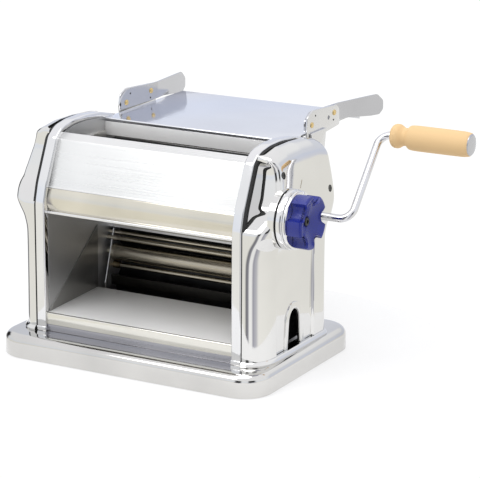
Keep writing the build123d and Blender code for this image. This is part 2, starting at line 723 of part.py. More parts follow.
keep("wooden_grip", wooden_grip.part)

with BuildPart() as grip_cap:
    rod(cap_seat + 0.1, grip_end + 0.8, arm_y, arm_z, cap_radius)
    chamfer(grip_cap.faces().sort_by(Axis.X)[-1].edges(), length=0.6)
keep("grip_cap", grip_cap.part)

for name, part in named.items():
    export_step(part, f"parts/{name}.step")
    print(f"{name:24s} solids {len(part.solids())} volume {part.volume:.0f}")
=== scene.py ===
"""Looks of a hand-cranked pasta roller: chromed casings, bright sheet covers, blue knob, beech grip."""

import logging
import math
from collections.abc import Callable, Sequence
from dataclasses import dataclass, field
from enum import Enum

import bmesh
import bpy
import numpy as np
from mathutils import Matrix, Vector

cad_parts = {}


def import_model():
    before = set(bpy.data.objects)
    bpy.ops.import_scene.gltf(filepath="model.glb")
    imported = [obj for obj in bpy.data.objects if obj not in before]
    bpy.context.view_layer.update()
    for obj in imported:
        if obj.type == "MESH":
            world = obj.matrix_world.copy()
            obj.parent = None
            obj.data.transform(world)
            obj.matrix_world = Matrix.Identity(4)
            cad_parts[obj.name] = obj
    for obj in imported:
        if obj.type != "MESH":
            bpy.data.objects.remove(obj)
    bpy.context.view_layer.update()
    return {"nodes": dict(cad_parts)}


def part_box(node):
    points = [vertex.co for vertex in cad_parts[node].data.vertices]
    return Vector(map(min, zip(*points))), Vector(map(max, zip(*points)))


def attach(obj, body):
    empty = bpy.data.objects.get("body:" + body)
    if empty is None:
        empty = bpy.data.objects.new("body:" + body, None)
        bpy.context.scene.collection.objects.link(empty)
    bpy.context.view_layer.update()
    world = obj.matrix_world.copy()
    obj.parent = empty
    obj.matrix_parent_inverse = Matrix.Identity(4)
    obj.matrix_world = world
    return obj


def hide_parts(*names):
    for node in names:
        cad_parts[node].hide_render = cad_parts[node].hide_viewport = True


MM = 0.001
Point2 = tuple[float, float]
Point3 = tuple[float, float, float]
Colour = tuple[float, float, float]
LOG = logging.getLogger("pasta_roller")


class Body(Enum):
    """The rigid bodies of the machine."""

    FRAME = "frame"
    DRIVE = "drive"
    GRIP = "grip"
    CARRIAGE = "carriage"
    FRONT_ROLLER = "front_roller"
    ADJUSTER = "adjuster"


class Side(Enum):
    """The two ends of the machine, by the sign of X."""

    RIGHT = 1
    LEFT = -1

    @property
    def word(self) -> str:
        """The side's name as the nodes use it."""
        return self.name.lower()


# --------------------------------------------------------------------------------------
# Measuring
# --------------------------------------------------------------------------------------
@dataclass(frozen=True)
class Extent:
    """Lowest and highest corner of a node, in millimetres."""

    low: Vector
    high: Vector

    @classmethod
    def of(cls, node: str) -> "Extent":
        """Measure one node of the frame."""
        low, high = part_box(node)
        return cls(low / MM, high / MM)

    @property
    def centre(self) -> Vector:
        """Middle of the box."""
        return (self.low + self.high) / 2


# --------------------------------------------------------------------------------------
# Outlines
# --------------------------------------------------------------------------------------
def rounded(points: Sequence[Point2], radii: Sequence[float] | float, closed: bool = True,
            steps: int = 7) -> list[Point2]:
    """Round the corners of an outline.

    Args:
        points: Corner points in order.
        radii: One radius for all corners, or one for each point.
        closed: Whether the outline closes on itself; an open one keeps its end points.
        steps: Straight pieces in each arc.

    Returns:
        The outline with an arc at each corner.
    """
    count = len(points)
    sizes = [float(radii)] * count if isinstance(radii, (int, float)) else list(radii)
    made: list[Point2] = []
    for index, point in enumerate(points):
        is_end = not closed and index in (0, count - 1)
        here = np.array(point, float)
        before = np.array(points[index - 1], float) - here
        after = np.array(points[(index + 1) % count], float) - here
        reach_before, reach_after = np.linalg.norm(before), np.linalg.norm(after)
        if is_end or sizes[index] <= 0 or min(reach_before, reach_after) < 1e-9:
            made.append((float(here[0]), float(here[1])))
            continue
        before, after = before / reach_before, after / reach_after
        opening = math.acos(float(np.clip(before @ after, -1, 1)))
        if opening > math.pi - 0.02:
            made.append((float(here[0]), float(here[1])))
            continue
        cut = min(sizes[index] / math.tan(opening / 2), 0.49 * reach_before, 0.49 * reach_after)
        radius = cut * math.tan(opening / 2)
        bisector = (before + after) / np.linalg.norm(before + after)
        centre = here + bisector * radius / math.sin(opening / 2)
        first, last = here + before * cut - centre, here + after * cut - centre
        sweep = math.atan2(first[0] * last[1] - first[1] * last[0], float(first @ last))
        for step in range(steps + 1):
            angle = sweep * step / steps
            made.append((float(centre[0] + first[0] * math.cos(angle) - first[1] * math.sin(angle)),
                         float(centre[1] + first[0] * math.sin(angle) + first[1] * math.cos(angle))))
    return made


def thick_line(points: Sequence[Point2], thickness: float) -> list[Point2]:
    """Outline of a sheet whose one face follows a line.

    Args:
        points: The line, in order.
        thickness: Sheet thickness; the body lies on the line's left, or on its right if negative.

    Returns:
        The closed outline.
    """
    line = np.array(points, float)
    along = np.gradient(line, axis=0)
    along /= np.linalg.norm(along, axis=1)[:, None]
    left = np.stack([-along[:, 1], along[:, 0]], axis=1)
    other = line + left * thickness
    return [tuple(p) for p in line] + [tuple(p) for p in other[::-1]]


def smooth_through(knots: Sequence[Point2], at: np.ndarray) -> np.ndarray:
    """Values of a smooth curve through knots, without overshoot.

    Args:
        knots: (place, value) pairs in rising order of place.
        at: The places asked for; those past the ends take the end values.

    Returns:
        One value for each place.
    """
    xs, ys = np.array(knots, float).T
    slopes = np.diff(ys) / np.diff(xs)
    tangents = np.zeros(len(xs))
    tangents[0], tangents[-1] = slopes[0], slopes[-1]
    for i in range(1, len(xs) - 1):
        if slopes[i - 1] * slopes[i] > 0:
            tangents[i] = 2 * slopes[i - 1] * slopes[i] / (slopes[i - 1] + slopes[i])
    place = np.clip(at, xs[0], xs[-1])
    index = np.clip(np.searchsorted(xs, place, side="right") - 1, 0, len(xs) - 2)
    span = xs[index + 1] - xs[index]
    t = (place - xs[index]) / span
    h00, h10 = 2 * t**3 - 3 * t**2 + 1, t**3 - 2 * t**2 + t
    h01, h11 = -2 * t**3 + 3 * t**2, t**3 - t**2
    return (h00 * ys[index] + h10 * span * tangents[index]
            + h01 * ys[index + 1] + h11 * span * tangents[index + 1])


def step_up(value: np.ndarray | float, start: float, end: float) -> np.ndarray:
    """Smooth step from 0 at start to 1 at end."""
    t = np.clip((np.asarray(value, float) - start) / (end - start), 0, 1)
    return t * t * (3 - 2 * t)


# --------------------------------------------------------------------------------------
# Meshes
# --------------------------------------------------------------------------------------
@dataclass
class Shape:
    """Points in millimetres and the faces between them."""

    points: list[Point3] = field(default_factory=list)
    faces: list[tuple[int, ...]] = field(default_factory=list)

    def add(self, other: "Shape") -> "Shape":
        """Take in another shape's points and faces.

        Args:
            other: The shape to copy from.

        Returns:
            This shape.
        """
        start = len(self.points)
        self.points += other.points
        self.faces += [tuple(i + start for i in face) for face in other.faces]
        return self

    def mirrored(self, side: Side) -> "Shape":
        """The shape for one side of the machine.

        Args:
            side: The side that it is wanted for; the shape itself is the right-hand one.

        Returns:
            This shape, or its mirror image in X for the left.
        """
        if side is Side.RIGHT:
            return self
        return Shape([(-x, y, z) for x, y, z in self.points], [face[::-1] for face in self.faces])

    def mesh(self, name: str) -> bpy.types.Mesh:
        """Make a mesh in metres, with the faces of a closed shape turned outwards.

        Args:
            name: The mesh's name.

        Returns:
            The new mesh.
        """
        mesh = bpy.data.meshes.new(name)
        form = bmesh.new()
        corners = [form.verts.new(tuple(c * MM for c in p)) for p in self.points]
        for face in self.faces:
            form.faces.new([corners[i] for i in face])
        if all(edge.is_manifold for edge in form.edges):
            bmesh.ops.recalc_face_normals(form, faces=form.faces)
        form.to_mesh(mesh)
        form.free()
        return mesh


def grid_shape(rows: np.ndarray, close_across: bool = False, close_along: bool = False) -> Shape:
    """Quads over a grid of points.

    Args:
        rows: Array of shape (rows, columns, 3).
        close_across: Join each row's last point to its first.
        close_along: Join the last row to the first.

    Returns:
        The surface.
    """
    n_rows, n_columns = rows.shape[:2]
    faces = []
    for i in range(n_rows if close_along else n_rows - 1):
        for j in range(n_columns if close_across else n_columns - 1):
            a, b = i * n_columns + j, i * n_columns + (j + 1) % n_columns
            k = (i + 1) % n_rows
            faces.append((a, b, k * n_columns + (j + 1) % n_columns, k * n_columns + j))
    return Shape([tuple(p) for p in rows.reshape(-1, 3)], faces)


def turned(profile: Sequence[Point2], centre: Point2, segments: int = 96) -> Shape:
    """Turn an (x, radius) profile about an axis along X.

    Args:
        profile: Points in order; points of zero radius become poles.
        centre: The axis's (y, z).
        segments: Steps round the axis.

    Returns:
        The turned surface.
    """
    shape = Shape()
    rings: list[list[int]] = []
    for x, radius in profile:
        start = len(shape.points)
        count = 1 if radius < 1e-6 else segments
        for k in range(count):
            angle = 2 * math.pi * k / segments
            shape.points.append((x, centre[0] + radius * math.cos(angle),
                                 centre[1] + radius * math.sin(angle)))
        rings.append(list(range(start, start + count)))
    for first, second in zip(rings, rings[1:]):
        for k in range(segments):
            n = (k + 1) % segments
            corners = [first[k % len(first)], first[n % len(first)],
                       second[n % len(second)], second[k % len(second)]]
            face = tuple(dict.fromkeys(corners))
            if len(face) > 2:
                shape.faces.append(face)
    return shape


def prism_x(outline: Sequence[Point2], x_low: float, x_high: float) -> Shape:
    """A solid of constant section along X.

    Args:
        outline: The section's (y, z) points, in either direction.
        x_low: Where it starts.
        x_high: Where it ends.

    Returns:
        The closed solid.
    """
    count = len(outline)
    area = sum(a[0] * b[1] - b[0] * a[1] for a, b in zip(outline, [*outline[1:], outline[0]]))
    ring = list(outline) if area > 0 else list(outline)[::-1]
    points = [(x, y, z) for x in (x_low, x_high) for y, z in ring]
    faces = [tuple(range(count))[::-1], tuple(range(count, 2 * count))]
    faces += [(k, (k + 1) % count, count + (k + 1) % count, count + k) for k in range(count)]
    return Shape(points, faces)


def tube(path: Sequence[Point3], radius: float, segments: int = 32) -> Shape:
    """A round bar along a path, with closed ends.

    Args:
        path: Points of its centre line.
        radius: Radius of the bar.
        segments: Steps round it.

    Returns:
        The closed bar.
    """
    line = np.array(path, float)
    along = np.gradient(line, axis=0)
    along /= np.linalg.norm(along, axis=1)[:, None]
    normal = np.cross(along[0], (0.0, 0.3, 1.0))
    rows = []
    for place, direction in zip(line, along):
        normal = normal - direction * float(normal @ direction)
        normal /= np.linalg.norm(normal)
        other = np.cross(direction, normal)
        angles = 2 * math.pi * np.arange(segments) / segments
        rows.append(place + radius * (np.cos(angles)[:, None] * normal + np.sin(angles)[:, None] * other))
    shape = grid_shape(np.array(rows), close_across=True)
    last = len(shape.points) - segments
    shape.faces += [tuple(range(segments))[::-1], tuple(range(last, last + segments))]
    return shape


def ring_stack(rings: Sequence[Sequence[Point3]]) -> Shape:
    """Join rings in order and fill in the first and the last.

    Args:
        rings: Closed rings with equal numbers of points.

    Returns:
        The closed solid.
    """
    shape = grid_shape(np.array(rings, float), close_across=True)
    count = len(rings[0])
    last = len(shape.points) - count
    shape.faces += [tuple(range(count))[::-1], tuple(range(last, last + count))]
    return shape


def rounded_rectangle(half_x: float, half_y: float, radius: float, centre_y: float, z: float,
                      steps: int = 14) -> list[Point3]:
    """A level rounded rectangle, counter-clockwise from above.

    Args:
        half_x: Half its width.
        half_y: Half its depth.
        radius: Corner radius.
        centre_y: The Y of its centre; its X is 0.
        z: Its height.
        steps: Steps in each corner.

    Returns:
        The ring of points.
    """
    ring = []
    for quarter, (sx, sy) in enumerate(((1, -1), (1, 1), (-1, 1), (-1, -1))):
        for step in range(steps + 1):
            angle = math.radians(-90 + 90 * quarter + 90 * step / steps)
            ring.append((sx * (half_x - radius) + radius * math.cos(angle),
                         centre_y + sy * (half_y - radius) + radius * math.sin(angle), z))
    return ring


# --------------------------------------------------------------------------------------
# Finishes
# --------------------------------------------------------------------------------------
class Paint:
    """Wires the nodes of one material."""

    def __init__(self, name: str) -> None:
        """Start a material with one Principled shader.

        Args:
            name: The material's name.
        """
        self.material = bpy.data.materials.new(name)
        self.material.use_nodes = True
        self.tree = self.material.node_tree
        self.shader = self.tree.nodes["Principled BSDF"]
        self.coords = self.node("ShaderNodeTexCoord").outputs["Object"]

    def node(self, kind: str, **values: object) -> bpy.types.Node:
        """Add a node.

        Args:
            kind: The node's type.
            **values: Properties or inputs to set, by name.

        Returns:
            The new node.
        """
        made = self.tree.nodes.new(kind)
        for key, value in values.items():
            label = key.replace("_", " ")
            socket = next((s for s in made.inputs if s.name.lower() == label.lower()), None)
            if hasattr(made, key):
                setattr(made, key, value)
            elif socket is not None:
                socket.default_value = value
        return made

    def link(self, source: bpy.types.NodeSocket, target: bpy.types.NodeSocket) -> None:
        """Join two sockets."""
        self.tree.links.new(source, target)

    def set(self, **values: object) -> None:
        """Set constants on the shader's own sockets."""
        for key, value in values.items():
            self.shader.inputs[key.replace("_", " ")].default_value = value

    def noise(self, scale: float, stretch: Point3 = (1, 1, 1), detail: float = 4,
              roughness: float = 0.5, distortion: float = 0.0) -> bpy.types.NodeSocket:
        """Noise over the object's own space.

        Args:
            scale: Size of the noise.
            stretch: Further scale along each axis.
            detail: Number of finer layers.
            roughness: Weight of the finer layers.
            distortion: How far the pattern is pulled about.

        Returns:
            The noise value.
        """
        mapping = self.node("ShaderNodeMapping")
        mapping.inputs["Scale"].default_value = stretch
        self.link(self.coords, mapping.inputs["Vector"])
        noise = self.node("ShaderNodeTexNoise")
        noise.inputs["Scale"].default_value = scale
        noise.inputs["Detail"].default_value = detail
        noise.inputs["Roughness"].default_value = roughness
        noise.inputs["Distortion"].default_value = distortion
        self.link(mapping.outputs["Vector"], noise.inputs["Vector"])
        return noise.outputs["Fac"]

    def spread(self, source: bpy.types.NodeSocket, low: float, high: float,
               start: float = 0.3, end: float = 0.7) -> bpy.types.NodeSocket:
        """Map part of a source's range on to another.

        Args:
            source: The value to map.
            low: Result at the start.
            high: Result at the end.
            start: Lower end of the source's range.
            end: Upper end of the source's range.

        Returns:
            The mapped value.
        """
        ranged = self.node("ShaderNodeMapRange")
        for name, value in (("From Min", start), ("From Max", end), ("To Min", low), ("To Max", high)):
            ranged.inputs[name].default_value = value
        self.link(source, ranged.inputs["Value"])
        return ranged.outputs["Result"]

    def blend(self, source: bpy.types.NodeSocket, stops: Sequence[tuple[float, Colour]]) -> None:
        """Colour the shader by a ramp over a source."""
        self.link(self.ramp(source, stops), self.shader.inputs["Base Color"])

    def ramp(self, source: bpy.types.NodeSocket,
             stops: Sequence[tuple[float, Colour]]) -> bpy.types.NodeSocket:
        """A colour ramp over a source.

        Args:
            source: The value that picks the colour.
            stops: (place, colour) pairs in order.

        Returns:
            The picked colour.
        """
        ramp = self.node("ShaderNodeValToRGB")
        elements = ramp.color_ramp.elements
        while len(elements) < len(stops):
            elements.new(0.5)
        for element, (place, colour) in zip(elements, stops):
            element.position = place
            element.color = (*colour, 1)
        self.link(source, ramp.inputs["Fac"])
        return ramp.outputs["Color"]

    def bump(self, source: bpy.types.NodeSocket, strength: float, height: float) -> None:
        """Raise the surface by a source.

        Args:
            source: The height pattern.
            strength: Share of the effect.
            height: Full height in metres.
        """
        bump = self.node("ShaderNodeBump")
        bump.inputs["Strength"].default_value = strength
        bump.inputs["Distance"].default_value = height
        self.link(source, bump.inputs["Height"])
        self.link(bump.outputs["Normal"], self.shader.inputs["Normal"])


@dataclass(frozen=True)
class Finish:
    """A named surface finish, with the slot of the record that gives its class."""

    name: str
    slot: str

    def material(self) -> bpy.types.Material:
        """Make the material, or find it if it is made already.

        Returns:
            The material.
        """
        found = bpy.data.materials.get(self.name)
        if found is not None:
            return found
        paint = Paint(self.name)
        self.dress(paint)
        return paint.material

    def dress(self, paint: Paint) -> None:
        """Wire this finish's nodes."""
        raise NotImplementedError


@dataclass(frozen=True)
class Metal(Finish):
    """Metal with faint clouding, a wiped or drawn grain and a slightly uneven surface.

    The grain runs along the axis with the smallest stretch.
    """

    tint: Colour = (0.8, 0.8, 0.8)
    shade: float = 0.93
    rough: Point2 = (0.05, 0.12)
    grain: Point3 = (60.0, 60.0, 60.0)
    grain_height: float = 0.0
    ripple: float = 0.0
    metallic: float = 1.0

    def dress(self, paint: Paint) -> None:
        """Wire clouding into colour and roughness, and grain and ripple into the bump.

        Args:
            paint: The material to wire.
        """
        cloud = paint.noise(9.0, detail=3)
        darker = tuple(channel * self.shade for channel in self.tint)
        paint.blend(cloud, [(0.35, darker), (0.65, self.tint)])
        grain = paint.noise(1.0, stretch=self.grain, detail=2)
        total = paint.node("ShaderNodeMath", operation="ADD")
        paint.link(cloud, total.inputs[0])
        paint.link(grain, total.inputs[1])
        paint.link(paint.spread(total.outputs[0], *self.rough, start=0.8, end=1.25),
                   paint.shader.inputs["Roughness"])
        paint.set(Metallic=self.metallic)
        if self.grain_height:
            paint.bump(grain, 0.35, self.grain_height)
        elif self.ripple:
            paint.bump(paint.noise(26.0, detail=1), 0.3, self.ripple)


@dataclass(frozen=True)
class Wood(Finish):
    """Lacquered light hardwood turned along X, with long grain, darker figure and small pores."""

    pale: Colour = (0.80, 0.50, 0.235)
    deep: Colour = (0.50, 0.25, 0.085)

    def dress(self, paint: Paint) -> None:
        """Wire rings, fibre and pores.

        Args:
            paint: The material to wire.
        """
        rings = paint.noise(1.0, stretch=(15.0, 150.0, 105.0), detail=3, distortion=0.8)
        fibre = paint.noise(1.0, stretch=(55.0, 900.0, 900.0), detail=4)
        mixed = paint.node("ShaderNodeMath", operation="MULTIPLY_ADD")
        mixed.inputs[1].default_value = 0.35
        paint.link(fibre, mixed.inputs[0])
        paint.link(rings, mixed.inputs[2])
        middle = tuple((a + b) / 2 for a, b in zip(self.pale, self.deep))
        paint.blend(mixed.outputs[0], [(0.50, self.deep), (0.57, middle), (0.64, self.pale),
                                       (0.70, self.pale), (0.75, middle), (0.84, self.deep)])
        paint.link(paint.spread(fibre, 0.34, 0.48), paint.shader.inputs["Roughness"])
        paint.set(Coat_Weight=0.25, Coat_Roughness=0.25)
        paint.bump(fibre, 0.25, 0.00015)


@dataclass(frozen=True)
class Moulded(Finish):
    """Moulded plastic or rubber with a fine surface texture."""

    colour: Colour = (0.5, 0.5, 0.5)
    shade: float = 0.86
    rough: Point2 = (0.3, 0.45)
    texture: float = 0.00005
    coat: float = 0.0

    def dress(self, paint: Paint) -> None:
        """Wire slight colour clouding and a fine texture.

        Args:
            paint: The material to wire.
        """
        cloud = paint.noise(60.0, detail=3)
        darker = tuple(channel * self.shade for channel in self.colour)
        paint.blend(cloud, [(0.35, darker), (0.65, self.colour)])
        paint.link(paint.spread(cloud, *self.rough), paint.shader.inputs["Roughness"])
        paint.set(Coat_Weight=self.coat, Coat_Roughness=0.2)
        paint.bump(paint.noise(900.0, detail=2), 0.2, self.texture)


CASING = Metal("casing_chrome", "chrome_sheet", tint=(0.78, 0.775, 0.76), rough=(0.03, 0.07),
               ripple=0.0006)
TRIM = Metal("trim_chrome", "chrome_sheet", tint=(0.82, 0.82, 0.825), rough=(0.04, 0.09))
COVER = Metal("cover_sheet", "chrome_sheet", tint=(0.82, 0.82, 0.81), rough=(0.24, 0.34),
              grain=(6.0, 500.0, 500.0))
GUARD = Metal("guard_sheet", "chrome_sheet", tint=(0.80, 0.76, 0.66), rough=(0.14, 0.26),
              grain=(6.0, 400.0, 400.0), shade=0.80)
BASE = Metal("base_sheet", "chrome_sheet", tint=(0.70, 0.69, 0.67), rough=(0.05, 0.11),
             shade=0.86, ripple=0.0006)
DROP = Metal("chute_front_sheet", "chrome_sheet", tint=(0.78, 0.765, 0.71), rough=(0.10, 0.18),
             grain=(6.0, 300.0, 300.0))
CHUTE = Metal("chute_sheet", "chrome_sheet", tint=(0.96, 0.955, 0.94), rough=(0.30, 0.38),
              grain=(6.0, 300.0, 300.0), metallic=0.12)
# Painted shade: the chute cheeks are the same sheet as the chute floor, tinted far darker for the shade on
# the chute's inner walls.
CHEEK = Metal("chute_cheek_sheet", "chrome_sheet", tint=(0.32, 0.316, 0.305), rough=(0.30, 0.42),
              grain=(300.0, 300.0, 6.0), metallic=0.8)
SILL = Metal("sill_sheet", "chrome_sheet", tint=(0.40, 0.40, 0.44), rough=(0.22, 0.34),
             grain=(6.0, 300.0, 300.0))
TRAY = Metal("tray_sheet", "chrome_sheet", tint=(0.86, 0.87, 0.90), rough=(0.07, 0.13),
             ripple=0.0004)
FLANGE = Metal("tray_flange_sheet", "chrome_sheet", tint=(0.96, 0.955, 0.94), rough=(0.4, 0.5),
               metallic=0.2)
GUIDE = Metal("guide_sheet", "chrome_sheet", tint=(0.56, 0.565, 0.60), rough=(0.12, 0.22))
BRACKET = Metal("bracket_sheet", "chrome_sheet", tint=(0.74, 0.74, 0.75), rough=(0.14, 0.24))
ROLLER = Metal("roller_steel", "roller_chrome", tint=(0.50, 0.49, 0.48), rough=(0.10, 0.2))
ROD = Metal("drawn_rod", "roller_chrome", tint=(0.74, 0.74, 0.76), rough=(0.10, 0.2),
            grain=(12.0, 300.0, 300.0))
# Painted shade: the steel frames, shafts and small inner parts are tinted near black so the inside of the
# machine and the clamp arch read dark.
PLATE = Metal("plate_steel", "plate_steel", tint=(0.12, 0.116, 0.112), rough=(0.24, 0.38))
CHEEK_PLATE = Metal("hopper_sheet", "plate_steel", tint=(0.80, 0.79, 0.75), rough=(0.3, 0.4))
# Painted shade: the rear rail is tinted almost black to stand in for the shade behind the rollers.
RAIL_SHADE = Metal("rail_painted_shade", "plate_steel", tint=(0.035, 0.033, 0.03), rough=(0.3, 0.45))
# Painted reflection: the warm tint on the tie rods and spacer tube stands in for warm streaks mirrored in
# them.
ROD_WARM_REFLECTION = Metal("tie_rod_steel", "plate_steel", tint=(0.46, 0.42, 0.34), rough=(0.16, 0.3),
                 grain=(8.0, 300.0, 300.0))
GEAR = Metal("gear_steel", "gear_steel", tint=(0.26, 0.25, 0.23), rough=(0.3, 0.45))
DARK = Metal("blackened_steel", "dark_steel", tint=(0.06, 0.06, 0.06), rough=(0.3, 0.5))
DULL_BRASS = Metal("oiled_brass", "brass", tint=(0.20, 0.16, 0.10), rough=(0.3, 0.45))
BRASS = Metal("brass", "brass", tint=(0.60, 0.54, 0.43), rough=(0.14, 0.28))
BLUE = Moulded("blue_knob", "blue_plastic", colour=(0.012, 0.022, 0.25), rough=(0.24, 0.34), coat=0.1)
WHITE = Moulded("white_scraper", "white_plastic", colour=(0.60, 0.57, 0.50), rough=(0.4, 0.55))
RUBBER = Moulded("black_rubber", "rubber", colour=(0.012, 0.012, 0.012), rough=(0.6, 0.8))
BEECH = Wood("beech", "beech")


# --------------------------------------------------------------------------------------
# Making pieces
# --------------------------------------------------------------------------------------
@dataclass(frozen=True)
class Edge:
    """How a piece's edges are eased: bevel width in millimetres and its number of steps."""

    width: float = 0.0
    steps: int = 3


def make_piece(name: str, shape: Shape, finish: Finish, body: Body, replaces: Sequence[str] = (),
               edge: Edge = Edge(), sharp: float = 38.0) -> bpy.types.Object:
    """Turn a shape into a dressed object that rides on a body.

    Args:
        name: The piece's name.
        shape: Its mesh, in millimetres.
        finish: Its surface.
        body: The body that it moves with.
        replaces: The nodes that it stands for.
        edge: Easing of its edges.
        sharp: Angle in degrees above which an edge stays sharp.

    Returns:
        The new object.
    """
    piece = bpy.data.objects.new(name, shape.mesh(name))
    bpy.context.scene.collection.objects.link(piece)
    if edge.width:
        bevel = piece.modifiers.new("eased", "BEVEL")
        bevel.width, bevel.segments = edge.width * MM, edge.steps
        bevel.limit_method, bevel.angle_limit = "ANGLE", math.radians(28)
        bevel.harden_normals = False
    apply_modifiers(piece)
    smooth(piece.data, sharp)
    dress(piece, finish)
    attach(piece, body.value)
    if replaces:
        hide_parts(*replaces)
    LOG.info("%s: %d faces on %s", name, len(piece.data.polygons), body.value)
    return piece


def dress(piece: bpy.types.Object, finish: Finish) -> None:
    """Give an object one finish.

    Args:
        piece: The object.
        finish: Its surface.
    """
    piece.data.materials.clear()
    piece.data.materials.append(finish.material())


def smooth(mesh: bpy.types.Mesh, sharp: float) -> None:
    """Shade a mesh smooth, with edges above an angle kept sharp."""
    mesh.polygons.foreach_set("use_smooth", [True] * len(mesh.polygons))
    mesh.set_sharp_from_angle(angle=math.radians(sharp))


def apply_modifiers(piece: bpy.types.Object) -> None:
    """Replace an object's mesh by the one that its modifiers make.

    Args:
        piece: The object; without modifiers it stays as it is.
    """
    if not piece.modifiers:
        return
    bpy.context.view_layer.update()
    made = bpy.data.meshes.new_from_object(piece.evaluated_get(bpy.context.evaluated_depsgraph_get()))
    old, name = piece.data, piece.data.name
    piece.modifiers.clear()
    piece.data = made
    bpy.data.meshes.remove(old)
    made.name = name


def cut_away(piece: bpy.types.Object, cutters: Sequence[Shape]) -> None:
    """Take closed shapes away from a piece.

    Args:
        piece: The object that is cut.
        cutters: The shapes to take away, in millimetres.
    """
    made = []
    for index, shape in enumerate(cutters):
        mesh = shape.mesh(f"cutter_{index}")
        cutter = bpy.data.objects.new(f"cutter_{index}", mesh)
        bpy.context.scene.collection.objects.link(cutter)
        modifier = piece.modifiers.new("cut", "BOOLEAN")
        modifier.operation, modifier.object, modifier.solver = "DIFFERENCE", cutter, "MANIFOLD"
        made.append(cutter)
    apply_modifiers(piece)
    for cutter in made:
        mesh = cutter.data
        bpy.data.objects.remove(cutter)
        bpy.data.meshes.remove(mesh)


